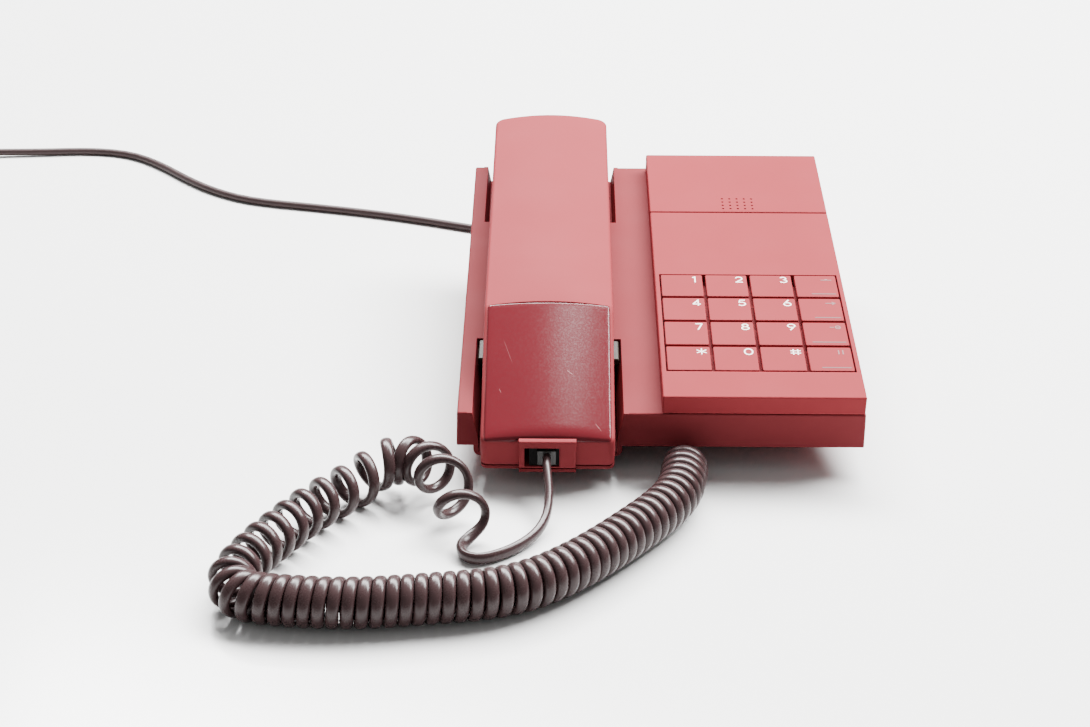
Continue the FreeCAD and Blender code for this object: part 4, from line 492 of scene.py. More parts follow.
def nurbs_points(name, controls):
    """Points along the spline that the controls pull, read back from a bare curve."""
    curve = nurbs_curve(name, controls)
    holder = bpy.data.objects.new(name, curve)
    mesh = bpy.data.meshes.new_from_object(holder)
    points = np.empty(len(mesh.vertices) * 3, np.float32)
    mesh.vertices.foreach_get("co", points)
    bpy.data.objects.remove(holder)
    bpy.data.curves.remove(curve)
    bpy.data.meshes.remove(mesh)
    return points.reshape(-1, 3).astype(float)


def through_points(points, count):
    """Even points on a natural cubic through the given ones, spaced by chord length.

    The second derivatives at the points solve the usual three-term equations, as one matrix.
    """
    chord = np.linalg.norm(np.diff(points, axis=0), axis=1)
    knots = np.concatenate([[0.0], np.cumsum(chord)])
    size = len(points)
    matrix = np.eye(size)
    right = np.zeros_like(points)
    middle = np.arange(1, size - 1)
    matrix[middle, middle - 1] = chord[:-1]
    matrix[middle, middle] = 2 * (chord[:-1] + chord[1:])
    matrix[middle, middle + 1] = chord[1:]
    slope = np.diff(points, axis=0) / chord[:, None]
    right[1:-1] = 6 * np.diff(slope, axis=0)
    bend = np.linalg.solve(matrix, right)
    t = np.linspace(0, knots[-1], count)
    k = np.clip(np.searchsorted(knots, t, side="right") - 1, 0, size - 2)
    h, a, b = chord[k][:, None], (knots[k + 1] - t)[:, None], (t - knots[k])[:, None]
    cubic = (bend[k] * a ** 3 + bend[k + 1] * b ** 3) / (6 * h)
    linear = (points[k] / h - bend[k] * h / 6) * a + (points[k + 1] / h - bend[k + 1] * h / 6) * b
    return cubic + linear


def path_length(points):
    """Length of a run of points."""
    return float(np.linalg.norm(np.diff(points, axis=0), axis=1).sum())


def flat_wire(points, thin, width, thickness):
    """Flat cord as a tube: an oval section carried along points, its thin side along the given directions.

    The section is |a/w|^p + |b/t|^p = 1 with p = WIRE_POWER, closed to a point at each end.
    """
    way = unit(np.gradient(points, axis=0))
    thin = unit(thin - way * np.einsum("ij,ij->i", thin, way)[:, None])
    broad = np.cross(way, thin)
    angle = np.linspace(0, 2 * np.pi, WIRE_SIDES, endpoint=False)
    power = 2 / WIRE_POWER
    a = np.sign(np.cos(angle)) * np.abs(np.cos(angle)) ** power * width / 2
    b = np.sign(np.sin(angle)) * np.abs(np.sin(angle)) ** power * thickness / 2
    rings = points[:, None] + broad[:, None] * a[None, :, None] + thin[:, None] * b[None, :, None]
    first = np.repeat(points[:1, None], WIRE_SIDES, axis=1)
    last = np.repeat(points[-1:, None], WIRE_SIDES, axis=1)
    return np.concatenate([first, rings, last])


class Shade:
    """A shader socket whose sums and products add Math nodes."""

    def __init__(self, finish, socket):
        self.finish = finish
        self.socket = socket

    def __add__(self, other):
        return self.finish.maths("ADD", self, other)

    def __sub__(self, other):
        return self.finish.maths("SUBTRACT", self, other)

    def __rsub__(self, other):
        return self.finish.maths("SUBTRACT", other, self)

    def __mul__(self, other):
        return self.finish.maths("MULTIPLY", self, other)

    __radd__ = __add__
    __rmul__ = __mul__


class Finish:
    """One material and its nodes."""

    def __init__(self, name):
        self.material = bpy.data.materials.new(name)
        self.material.use_nodes = True
        self.tree = self.material.node_tree
        self.tree.nodes.clear()
        self.place = self.node("ShaderNodeTexCoord", output="Object")

    def node(self, kind, settings=None, inputs=None, output=0):
        """Add a node: its settings first, then the values or links of its sockets; gives one output."""
        made = self.tree.nodes.new(kind)
        for key, value in (settings or {}).items():
            setattr(made, key, value)
        for key, value in (inputs or {}).items():
            if isinstance(value, Shade):
                self.tree.links.new(value.socket, made.inputs[key])
            else:
                made.inputs[key].default_value = value
        return Shade(self, made.outputs[output]) if made.outputs else None

    def maths(self, operation, a, b):
        """Math node on two values."""
        return self.node("ShaderNodeMath", {"operation": operation}, {0: a, 1: b})

    def mixed(self, factor, a, b):
        """Colour between a and b."""
        return self.node("ShaderNodeMix", {"data_type": "RGBA"}, {0: factor, 6: a, 7: b}, 2)

    def toned(self, factor, colour, low, high):
        """One colour that drifts between two of its shades."""
        return self.mixed(factor, shade_of(colour, low), shade_of(colour, high))

    def noise(self, scale, detail, rough, place=None):
        """Soft noise from 0 to 1 on the piece's own coordinates; scale is in patches for each metre."""
        inputs = {"Vector": place or self.place, "Scale": scale, "Detail": detail, "Roughness": rough}
        return self.node("ShaderNodeTexNoise", None, inputs, "Fac")

    def mapped(self, move=(0, 0, 0), turn=(0, 0, 0), scale=(1, 1, 1)):
        """The piece's own coordinates taken back by a move, then a turn, then a scale."""
        inputs = {"Vector": self.place, "Location": move, "Rotation": turn, "Scale": scale}
        return self.node("ShaderNodeMapping", {"vector_type": "TEXTURE"}, inputs)

    def stepped(self, value, low, high):
        """Smooth step from 0 at low to 1 at high."""
        inputs = {"Value": value, "From Min": low, "From Max": high}
        return self.node("ShaderNodeMapRange", {"interpolation_type": "SMOOTHSTEP"}, inputs)

    def bump(self, height, distance, strength, normal=None):
        """Normal from a height of 0 to 1 over a distance in metres."""
        inputs = {"Height": height, "Distance": distance, "Strength": strength}
        if normal:
            inputs["Normal"] = normal
        return self.node("ShaderNodeBump", None, inputs)

    def surface(self, colour, roughness, others):
        """Close the material with one principled shader."""
        inputs = {"Base Color": colour, "Roughness": roughness, **others}
        shader = self.node("ShaderNodeBsdfPrincipled", None, inputs)
        self.node("ShaderNodeOutputMaterial", None, {"Surface": shader})
        return self.material


def shade_of(colour, factor):
    """A colour made lighter or darker."""
    return (colour[0] * factor, colour[1] * factor, colour[2] * factor, 1.0)


def moulded_plastic(name, colour, roughness, edge=0.0):
    """Moulded plastic: a fine spark-eroded grain, slow drift of tone, handling marks and paler edges.

    The paler edges are partly wear and partly a painted highlight, where a normal rounded over a small
    radius leaves the face's own normal.
    """
    finish = Finish(name)
    grain = finish.noise(2400.0, 3.0, 0.65)
    drift = finish.noise(22.0, 3.0, 0.55)
    rubbed = finish.stepped(finish.noise(40.0, 2.0, 0.5), 0.35, 0.75)
    streaks = finish.noise(900.0, 2.0, 0.5, finish.mapped(scale=(1.0, 0.05, 0.3)))
    fine_lines = finish.stepped(streaks, 0.68, 0.78)
    tone = finish.toned(drift, colour, 0.93, 1.07)
    tone = finish.mixed(fine_lines * 0.10, tone, shade_of(colour, 1.7))
    tone = finish.mixed(grain * 0.16, tone, shade_of(colour, 0.55))
    rough = roughness + (grain - 0.5) * 0.14 - rubbed * 0.05 + fine_lines * 0.06
    rounded = None
    if edge:
        rounded = finish.node("ShaderNodeBevel", {"samples": 6}, {"Radius": edge})
        face = finish.node("ShaderNodeNewGeometry", output="Normal")
        settings = {"operation": "DOT_PRODUCT"}
        facing = finish.node("ShaderNodeVectorMath", settings, {0: rounded, 1: face}, "Value")
        # Paler edges: partly wear, partly a painted highlight along the rims
        edge_wear_and_highlight = finish.stepped(1 - facing, 0.01, 0.2) * (0.45 + drift * 0.5)
        tone = finish.mixed(edge_wear_and_highlight, tone, shade_of(colour, 2.2))
        rough = rough - edge_wear_and_highlight * 0.2
    normal = finish.bump(grain, GRAIN_DEPTH, 0.55, rounded)
    others = {"Normal": normal, "IOR": PLASTIC_IOR, "Specular IOR Level": MOULDED_GLOSS}
    return finish.surface(tone, rough, others)


def glossy_plastic(name, colour, roughness):
    """Polished plastic: a fine sparkling grain and a few scratches, each a thin straight strip.

    A scratch is 1 where the distance across it is under its half width and the distance along it is inside.
    """
    finish = Finish(name)
    grain = finish.noise(1400.0, 3.0, 0.7)
    tone = finish.toned(finish.noise(30.0, 3.0, 0.55), colour, 0.92, 1.08)
    tone = finish.mixed(grain * 0.25, tone, shade_of(colour, 0.5))
    marks = 0.0
    for start_x, start_y, end_x, end_y, strength in COVER_SCRATCHES:
        run = math.hypot(end_x - start_x, end_y - start_y) * MM
        heading = math.atan2(end_y - start_y, end_x - start_x)
        own = finish.mapped((start_x * MM, start_y * MM, 0.0), (0.0, 0.0, heading))
        along = finish.node("ShaderNodeSeparateXYZ", None, {0: own}, "X")
        across = finish.maths("ABSOLUTE", finish.node("ShaderNodeSeparateXYZ", None, {0: own}, "Y"), 0.0)
        strip = 1 - finish.stepped(across, SCRATCH_CORE * SCRATCH_HALF, SCRATCH_HALF)
        begun = finish.stepped(along, 0.0, SCRATCH_TAPER * run)
        ended = finish.stepped(along, (1 - SCRATCH_TAPER) * run, run)
        marks = marks + strip * (begun - ended) * strength
    tone = finish.mixed(marks, tone, shade_of(SCRATCH_TONE, 1.0))
    rough = roughness + (grain - 0.5) * 0.16 + marks * 0.2
    return finish.surface(tone, rough, {
        "Normal": finish.bump(grain, GRAIN_DEPTH, 0.6), "IOR": PLASTIC_IOR, "Specular IOR Level": COVER_GLOSS,
        "Coat Weight": finish.stepped(grain, 0.47, 0.62) * COVER_SPARKLE, "Coat Roughness": roughness,
    })


def smooth_plastic(name, colour, roughness, speck, gloss):
    """Plain moulded plastic: faint flow marks in tone and gloss."""
    finish = Finish(name)
    flow = finish.noise(120.0, 4.0, 0.6)
    fine = finish.noise(1800.0, 2.0, 0.5)
    tone = finish.toned(flow, colour, 1 - speck, 1 + speck)
    rough = roughness + (flow - 0.5) * 0.12 + (fine - 0.5) * 0.08
    normal = finish.bump(fine, SMOOTH_DEPTH, 0.4)
    others = {"Normal": normal, "IOR": PLASTIC_IOR, "Specular IOR Level": gloss}
    return finish.surface(tone, rough, others)


def cord_rubber(name, colour, roughness):
    """Flexible cord sheath: satin, with a fine grain, dull handled patches and a little dust."""
    finish = Finish(name)
    patches = finish.noise(90.0, 4.0, 0.6)
    fine = finish.noise(1500.0, 3.0, 0.6)
    dust = finish.stepped(finish.noise(420.0, 5.0, 0.7), 0.6, 0.8)
    tone = finish.toned(patches, colour, 0.82, 1.2)
    tone = finish.mixed(dust * 0.22, tone, shade_of(colour, 2.1))
    rough = roughness + (patches - 0.5) * 0.16 + (fine - 0.5) * 0.1 + dust * 0.08
    normal = finish.bump(fine, GRAIN_DEPTH, 0.35)
    others = {"Normal": normal, "IOR": PLASTIC_IOR, "Specular IOR Level": CORD_GLOSS}
    return finish.surface(tone, rough, others)


def soft_rubber(name, colour):
    """Matt rubber: open grain and a bloom of paler patches."""
    finish = Finish(name)
    grain = finish.noise(1300.0, 4.0, 0.7)
    tone = finish.toned(finish.noise(75.0, 3.0, 0.5), colour, 0.8, 1.25)
    rough = RUBBER_ROUGHNESS + (grain - 0.5) * 0.2
    return finish.surface(tone, rough, {"Normal": finish.bump(grain, RUBBER_DEPTH, 0.5)})


def plated_metal(name, colour, roughness):
    """Plated steel: drawn lines one way and cloudy plating."""
    finish = Finish(name)
    lines = finish.noise(1600.0, 2.0, 0.5, finish.mapped(scale=(0.02, 1.0, 1.0)))
    tone = finish.toned(finish.noise(160.0, 3.0, 0.5), colour, 0.85, 1.1)
    rough = roughness + (lines - 0.5) * 0.2
    return finish.surface(tone, rough, {"Metallic": 1.0, "Normal": finish.bump(lines, METAL_DEPTH, 0.4)})


def circuit_board(name, colour):
    """Lacquered board: faint weave under the lacquer and darker runs of track."""
    finish = Finish(name)
    weave = finish.noise(1500.0, 1.0, 0.4, finish.mapped(scale=(1.0, 0.25, 1.0)))
    runs = finish.noise(350.0, 0.0, 0.5, finish.mapped(scale=(0.2, 1.0, 1.0)))
    tone = finish.toned(weave, colour, 0.8, 1.2)
    tone = finish.mixed(finish.stepped(runs, 0.5, 0.54) * 0.5, tone, shade_of(colour, 0.5))
    return finish.surface(tone, LACQUER_ROUGHNESS + weave * 0.1, {})


def printed_ink(name, colour, cover):
    """Printed marks: pad-printed ink with a thin, slightly broken cover."""
    finish = Finish(name)
    broken = finish.noise(2600.0, 3.0, 0.6)
    tone = finish.toned(broken * (1 - cover), colour, 1.0, 0.75)
    return finish.surface(tone, INK_ROUGHNESS + broken * 0.1, {"Specular IOR Level": INK_GLOSS})


def clear_plastic(name, colour):
    """Cloudy clear plastic of the small plugs."""
    finish = Finish(name)
    cloud = finish.noise(240.0, 3.0, 0.6)
    tone = finish.toned(cloud, colour, 0.8, 1.2)
    others = {"IOR": CLEAR_IOR, "Specular IOR Level": CLEAR_GLOSS}
    return finish.surface(tone, CLEAR_ROUGHNESS + cloud * 0.12, others)


def table_paint(name, colour):
    """White table top: a faint cloud in its tone and gloss."""
    finish = Finish(name)
    cloud = finish.noise(3.0, 2.0, 0.5)
    tone = finish.toned(cloud, colour, 0.985, 1.0)
    return finish.surface(tone, TABLE_ROUGHNESS + cloud * 0.04, {"IOR": TABLE_IOR})


def handset_section(half, edge_top, crown, low, radius):
    """Closed cross-sections of the handset, one for each entry of the arrays.

    Each runs up the right side, round the shoulder's quarter circle, over the crown
    edge_top + crown (1 - u^2), down the left side and back along the parting line.
    """
    side = np.linspace(0, 1, WALL_STEPS)[:-1]
    quarter = quarter_turn(SHOULDER_STEPS)
    over = np.linspace(1, -1, CROWN_STEPS)[1:-1]
    under = np.linspace(-1, 1, UNDER_STEPS)[1:-1]
    half, edge_top, crown, low = (values[:, None] for values in (half, edge_top, crown, low))
    shoulder_x = half - radius + radius * np.cos(quarter)
    shoulder_z = edge_top - radius + radius * np.sin(quarter)
    wall_z = low + (edge_top - radius - low) * side
    wall_x = np.broadcast_to(half, wall_z.shape)
    top_x = (half - radius) * over
    top_z = edge_top + crown * (1 - over ** 2)
    bottom_x = half * under
    bottom_z = np.broadcast_to(low, bottom_x.shape)
    x = np.concatenate([wall_x, shoulder_x, top_x, -shoulder_x[:, ::-1], -wall_x[:, ::-1], bottom_x], axis=1)
    z = np.concatenate([wall_z, shoulder_z, top_z, shoulder_z[:, ::-1], wall_z[:, ::-1], bottom_z], axis=1)
    return x, z


def quarter_fall(distance, radius):
    """How far a quarter circle of that radius falls short at a distance from the face it ends on."""
    into = np.clip(1 - distance / radius, 0.0, 1.0)
    return radius * (1 - np.sqrt(1 - into ** 2))


def onto_rectangle(angles, left, right, low, high):
    """Points where rays at those angles from a rectangle's middle meet its sides, its corners included."""
    half_x, half_z = (right - left) / 2, (high - low) / 2
    way = np.stack([np.cos(angles), np.sin(angles)], axis=-1)
    slant = np.maximum(np.abs(way), TINY)
    points = way * np.minimum(half_x / slant[:, :1], half_z / slant[:, 1:])
    for corner in [(half_x, half_z), (-half_x, half_z), (-half_x, -half_z), (half_x, -half_z)]:
        nearest = np.argmin(np.linalg.norm(points - corner, axis=1))
        points[nearest] = corner
    return points + np.array([(left + right) / 2, (low + high) / 2])


def jack_rings(front, edge):
    """Rings from the jack opening's back out to the foot of the jack boss on the handset's front face.

    Each ring takes the points of the front section, by their angles round the opening's middle, onto a
    rectangle at its own depth; the boss's rim leans in over its edge radius.
    """
    middle = np.array([(OPENING_LEFT + OPENING_RIGHT) / 2, (OPENING_BOTTOM + OPENING_TOP) / 2])
    angles = np.arctan2(front[:, 2] - middle[1], front[:, 0] - middle[0])
    opening = onto_rectangle(angles, OPENING_LEFT, OPENING_RIGHT, OPENING_BOTTOM, OPENING_TOP)
    shut = np.broadcast_to(middle, opening.shape)
    rings = [(OPENING_BACK, shut), (OPENING_BACK, opening), (BOSS_FACE, opening)]
    partway = BOSS_RIM_SHARE * edge
    for rise, lean in [(0.0, edge), (partway, partway), (edge, 0.0)]:
        half = BOSS_HALF - lean
        boss = onto_rectangle(angles, HANDSET_X - half, HANDSET_X + half, BOSS_BOTTOM, BOSS_TOP - lean)
        rings.append((BOSS_FACE + rise, boss))
    rings.append((HANDSET_FRONT, boss))
    return np.stack([np.c_[ring[:, 0], np.full(len(ring), depth), ring[:, 1]] for depth, ring in rings])


def handset_grid(sizes):
    """Handset's upper shell: the jack opening, jack boss and front face, then sections along its length.

    Plan corners and the two end edges follow quarter circles; the near end's top slopes down to the front,
    and at the crease the top steps up to the grip's crown.
    """
    lip = sizes.crease_edge
    front_stations = HANDSET_FRONT + sizes.front_corner * (1 - np.cos(quarter_turn(FRONT_STEPS)))
    near = np.linspace(front_stations[-1], CREASE_Y, NEAR_STEPS)[1:]
    near = np.unique(np.concatenate([near, PARTING_ALONG[:2]]))
    crease = CREASE_Y + lip * (1 - np.cos(quarter_turn(LIP_STEPS)))
    back_stations = HANDSET_BACK - sizes.back_corner * (1 - np.sin(quarter_turn(BACK_STEPS)))
    along = np.concatenate([front_stations, near, crease, GRIP_STATIONS, back_stations])
    is_grip = np.arange(len(along)) >= len(front_stations) + len(near)
    from_front, from_back = along - HANDSET_FRONT, HANDSET_BACK - along
    inset = quarter_fall(from_front, sizes.front_corner) + quarter_fall(from_back, sizes.back_corner)
    fall = quarter_fall(from_front, sizes.end_edge) + quarter_fall(from_back, sizes.end_edge)
    sloped = HANDSET_FRONT_TOP + NEAR_SLOPE * from_front
    edge_top = np.where(is_grip, HANDSET_EDGE_TOP, sloped) - fall
    lip_fall = quarter_fall(along - CREASE_Y, lip) * is_grip
    crown = np.where(is_grip, HANDSET_CROWN - lip_fall, LEDGE_CROWN)
    low = np.interp(along, PARTING_ALONG, PARTING_HEIGHT)
    x, z = handset_section(HANDSET_HALF - inset, edge_top, crown, low, sizes.shoulder)
    body = np.stack([x + HANDSET_X, np.broadcast_to(along[:, None], x.shape), z], axis=-1)
    back_cap = body[-1:].copy()
    back_cap[..., 0] = HANDSET_X
    back_cap[..., 2] = low[-1]
    return on_table(np.concatenate([jack_rings(body[0], sizes.boss_edge), body, back_cap]))


def mouth_cover_grid(sizes):
    """Mouth cover: a rounded plate on the sloping near end, crowned across by crown (1 - (x / half)^2).

    Its front rolls down over a quarter oval, losing COVER_DROP of the plate's height at the front edge.
    """
    middle, half = (COVER_FRONT + COVER_BACK) / 2, (COVER_BACK - COVER_FRONT) / 2

    def seat(x, y):
        return HANDSET_FRONT_TOP + NEAR_SLOPE * (y + middle - HANDSET_FRONT) + COVER_SEAT

    def top(x, y):
        rolled = quarter_fall(y + middle - COVER_FRONT, COVER_ROLL) / COVER_ROLL
        height = COVER_EDGE + COVER_CROWN * (1 - (x / COVER_HALF) ** 2)
        return seat(x, y) + height * (1 - COVER_DROP * rolled)

    rings = plate_rings(COVER_HALF, half, sizes.cover_corner, sizes.cover_edge, top, seat,
                        per_side=26, per_corner=6, inner=16)
    return on_table(rings + np.array([HANDSET_X, middle, 0.0]))


def level(height):
    """Height function of a flat face."""
    return lambda x, y: np.full_like(x, height)


def key_grids(column, row, sizes):
    """One key: a cap with a soft rim and a faint dish, top - dish (1 - u^2)(1 - v^2), over a plain skirt."""
    half_x, half_y = (KEY_PITCH_X - KEY_GAP) / 2, (KEY_PITCH_Y - KEY_GAP) / 2
    middle = np.array([GRID_LEFT + (column + 0.5) * KEY_PITCH_X, GRID_FRONT + (row + 0.5) * KEY_PITCH_Y, 0.0])

    def top(x, y):
        return KEY_TOP - sizes.key_dish * (1 - (x / half_x) ** 2) * (1 - (y / half_y) ** 2)

    cap = plate_rings(half_x, half_y, sizes.key_corner, sizes.key_edge, top, level(CAP_BOTTOM),
                      per_side=8, per_corner=5, inner=8)
    skirt = plate_rings(half_x - SKIRT_INSET, half_y - SKIRT_INSET, sizes.key_corner,
                        SKIRT_EDGE_SHARE * sizes.key_edge, level(CAP_BOTTOM), level(SKIRT_BOTTOM),
                        per_side=3, per_corner=3, inner=3)
    return [on_table(cap + middle), on_table(skirt + middle)]


def closed_field(x, y, top, low):
    """Height field as a closed block: the grid, a wall down its rim and a floor gathered to its middle."""
    field = np.stack([x, y, top], axis=-1)
    rim = ((1, 1), (1, 1), (0, 0))
    walled = np.pad(field, rim, mode="edge")
    walled[[0, -1], :, 2] = low
    walled[:, [0, -1], 2] = low
    whole = np.pad(walled, rim, mode="edge")
    middle = np.array([x.mean(), y.mean(), low])
    whole[[0, -1]] = middle
    whole[:, [0, -1]] = middle
    return whole


def grille_grid():
    """Field of small sound holes: flat, less the depth within each hole's radius of its nearest centre."""
    x = np.linspace(GRILLE_MIDDLE[0] - GRILLE_HALF[0], GRILLE_MIDDLE[0] + GRILLE_HALF[0], GRILLE_STEPS)
    y = np.linspace(GRILLE_MIDDLE[1] - GRILLE_HALF[1], GRILLE_MIDDLE[1] + GRILLE_HALF[1], GRILLE_STEPS)
    x, y = np.meshgrid(x, y, indexing="ij")
    column = np.clip(np.round((x - GRILLE_FIRST[0]) / GRILLE_PITCH[0]), 0, GRILLE_COUNT[0] - 1)
    row = np.clip(np.round((y - GRILLE_FIRST[1]) / GRILLE_PITCH[1]), 0, GRILLE_COUNT[1] - 1)
    away_x = x - GRILLE_FIRST[0] - column * GRILLE_PITCH[0]
    away_y = y - GRILLE_FIRST[1] - row * GRILLE_PITCH[1]
    sunk = 1 - smooth_step((np.hypot(away_x, away_y) - GRILLE_HOLE) / GRILLE_SOFT)
    return on_table(closed_field(x, y, LID_TOP + LID_PROUD - GRILLE_DEPTH * sunk, LID_TOP - LID_DEPTH))


def each_key():
    """Name, column and row of every key."""
    return [(name, column, row) for row, names in enumerate(KEY_ROWS) for column, name in enumerate(names)]


def arc(x, y, radius_x, radius_y, start, end, count):
    """Points on an oval's arc, from start to end in degrees."""
    angle = np.radians(np.linspace(start, end, count))
    return np.stack([x + radius_x * np.cos(angle), y + radius_y * np.sin(angle)], axis=-1)


def oval(x, y, radius_x, radius_y, count):
    """Points all round an oval, the last on the first."""
    return arc(x, y, radius_x, radius_y, 0, 360, count)


def line(*corners):
    """Points of a straight line, or its end alone."""
    return np.array(corners, float)


def mark_strokes():
    """Strokes of each key's mark, on a field one unit high: ovals, arcs and straight lines."""
    return {
        "key_1": [line((-0.16, 0.78), (0.06, 0.94)), line((0.06, 1.0), (0.06, 0.0))],
        "key_2": [np.concatenate([arc(0.0, 0.67, 0.29, 0.27, 165, -38, 22), line((-0.27, 0.07))]),
                  line((-0.33, 0.07), (0.34, 0.07))],
        "key_3": [arc(-0.02, 0.73, 0.25, 0.21, 155, -90, 22), arc(-0.02, 0.28, 0.31, 0.23, 90, -155, 22)],
        "key_4": [line((0.14, 0.0), (0.14, 0.97)), line((0.17, 0.93), (-0.33, 0.26)),
                  line((-0.36, 0.24), (0.36, 0.24))],
        "key_5": [line((0.29, 0.93), (-0.2, 0.93)), line((-0.17, 0.95), (-0.25, 0.5)),
                  arc(-0.02, 0.32, 0.31, 0.27, 138, -150, 26)],
        "key_6": [oval(0.0, 0.3, 0.31, 0.25, 34), line((-0.27, 0.42), (0.14, 0.99))],
        "key_7": [line((-0.31, 0.93), (0.32, 0.93)), line((0.29, 0.95), (-0.1, 0.0))],
        "key_8": [oval(0.0, 0.73, 0.24, 0.2, 30), oval(0.0, 0.28, 0.31, 0.23, 34)],
        "key_9": [oval(0.0, 0.7, 0.31, 0.25, 34), line((0.27, 0.58), (-0.14, 0.01))],
        "key_0": [oval(0.0, 0.5, 0.35, 0.44, 40)],
        "key_star": [line((0.0, 0.05), (0.0, 0.95)), line((-0.42, 0.27), (0.42, 0.73)),
                     line((-0.42, 0.73), (0.42, 0.27))],
        "key_hash": [line((-0.45, 0.32), (0.45, 0.32)), line((-0.45, 0.68), (0.45, 0.68)),
                     line((-0.2, 0.08), (-0.2, 0.92)), line((0.2, 0.08), (0.2, 0.92))],
    }


def sign_strokes():
    """Strokes of the plain signs on the right-hand keys, in the same units."""
    return {
        "key_flash": [line((-0.55, 0.5), (0.55, 0.5)), line((-0.12, 0.62), (0.12, 0.62))],
        "key_store": [line((-0.5, 0.5), (0.5, 0.5)), line((0.12, 0.72), (0.46, 0.5)),
                      line((0.12, 0.28), (0.46, 0.5))],
        "key_mute": [oval(0.22, 0.5, 0.22, 0.26, 24), line((-0.55, 0.5), (-0.12, 0.5)),
                     line((0.1, 0.5), (0.34, 0.5))],
        "key_redial": [line((-0.18, 0.15), (-0.18, 0.85)), line((0.22, 0.15), (0.22, 0.85))],
    }


def stroke_grid(points, width):
    """Flat bar on a key's top: a rectangle carried along the stroke, closed at an open stroke's ends."""
    closed = len(points) > 2 and np.allclose(points[0], points[-1])
    way = np.gradient(points, axis=0)
    if closed:
        way[0] = way[-1] = points[1] - points[-2]
    way = unit(way)
    side = np.stack([-way[:, 1], way[:, 0]], axis=-1) * (width / 2)
    left, right = points + side, points - side
    corners = [(left, MARK_PROUD), (right, MARK_PROUD), (right, -MARK_SINK), (left, -MARK_SINK)]
    rings = np.stack([np.c_[edge, np.full(len(edge), height)] for edge, height in corners], axis=1)
    if not closed:
        first = np.repeat(rings[:1].mean(axis=1, keepdims=True), 4, axis=1)
        last = np.repeat(rings[-1:].mean(axis=1, keepdims=True), 4, axis=1)
        rings = np.concatenate([first, rings, last])
    return on_table(rings + np.array([0.0, 0.0, KEY_TOP]))


def curl_axis():
    """Even points on the curly cord's axis, with distances along it and those of its three changes."""
    axis = through_points(np.concatenate([TIGHT_AXIS, HAIRPIN_AXIS, OPEN_AXIS, LOOSE_AXIS]), AXIS_STEPS)
    distance = np.concatenate([[0.0], np.cumsum(np.linalg.norm(np.diff(axis, axis=0), axis=1))])
    starts = [HAIRPIN_AXIS[0], OPEN_AXIS[0], LOOSE_AXIS[0]]
    return axis, distance, [distance[np.argmin(np.linalg.norm(axis - start, axis=1))] for start in starts]


def curl_controls():
    """Control points of the handset cord from the base's plug to the last curl, and their thin directions.

    The third value is the point where the loose loops start.
    Turns gather as the sum of d/pitch along the axis; each point is the axis, plus side r cos, plus up r sin,
    turning against the clock. The rings face along a chord of the axis, so that they lean in the hairpin.
    """
    axis, distance, (hairpin_start, hairpin_end, loose_start) = curl_axis()
    total = distance[-1]

    def share_at(reach):
        return (reach - loose_start) / (total - loose_start)

    d = np.linspace(LEAD_LENGTH, total, TURN_STEPS)
    pitch = LEAD_PITCH + (CURL_PITCH - LEAD_PITCH) * smooth_step((d - LEAD_LENGTH) / LEAD_RAMP)
    pitch = pitch + (HAIRPIN_PITCH - CURL_PITCH) * smooth_step((d - hairpin_start) / CURL_EASE)
    opened = smooth_step((d - hairpin_end) / (loose_start - hairpin_end))
    pitch = pitch + (OPEN_PITCH - HAIRPIN_PITCH) * opened
    pitch = pitch + np.interp(share_at(d), LOOP_SHARES, LOOP_PITCHES) - OPEN_PITCH
    turns = np.concatenate([[0.0], np.cumsum(np.diff(d) / pitch[:-1])])
    turn = np.linspace(0, turns[-1], int(turns[-1] * POINTS_PER_TURN))
    d = np.interp(turn, turns, d)

    def on_axis(reach):
        x, y = (np.interp(reach, distance, axis[:, k]) for k in range(2))
        return np.stack([x, y, np.zeros_like(x)], axis=-1)

    centre = on_axis(d)
    ahead = LOOSE_AHEAD * smooth_step(share_at(d)) * smooth_step((total - d) / LOOSE_AHEAD)
    way = unit(on_axis(d + ahead + TURN_WINDOW / 2) - on_axis(d + ahead - TURN_WINDOW / 2))
    up = np.array([0.0, 0.0, 1.0])
    side = np.cross(up, way)
    growth = smooth_step((d - LEAD_LENGTH) / LEAD_RAMP)
    widening = (LOOSE_RADIUS - CURL_RADIUS) * smooth_step((d - hairpin_end) / (total - hairpin_end))
    radius = CURL_RADIUS * growth + widening
    arch = CURL_ARCH * smooth_step((d - loose_start) / CURL_EASE) * smooth_step((total - d) / CURL_EASE)
    height = BASE_PLUG_EXIT[2] + (CURL_REST - BASE_PLUG_EXIT[2]) * growth + widening + arch
    angle = 2 * np.pi * (turns[-1] - turn)
    radial = side * np.cos(angle)[:, None] + up * np.sin(angle)[:, None]
    points = centre + radial * radius[:, None] + up * height[:, None]
    lead = np.linspace(BASE_PLUG_EXIT, centre[0] + up * BASE_PLUG_EXIT[2], LEAD_POINTS + 1)[:-1]
    loose_point = int(np.argmin(np.abs(d - loose_start))) + LEAD_POINTS
    thin = np.concatenate([np.repeat(radial[:1], LEAD_POINTS, axis=0), radial])
    return np.concatenate([lead, points]), thin, loose_point


def tail_controls():
    """Control points of the plain tail from the last curl to its plug, and their thin directions."""
    points = np.concatenate([TAIL_ROUTE[::-1, :3] * MM, [TAIL_EXIT]])
    thin = np.concatenate([TAIL_ROUTE[::-1, 3:], TAIL_ROUTE[:1, 3:]])
    return points, unit(thin)


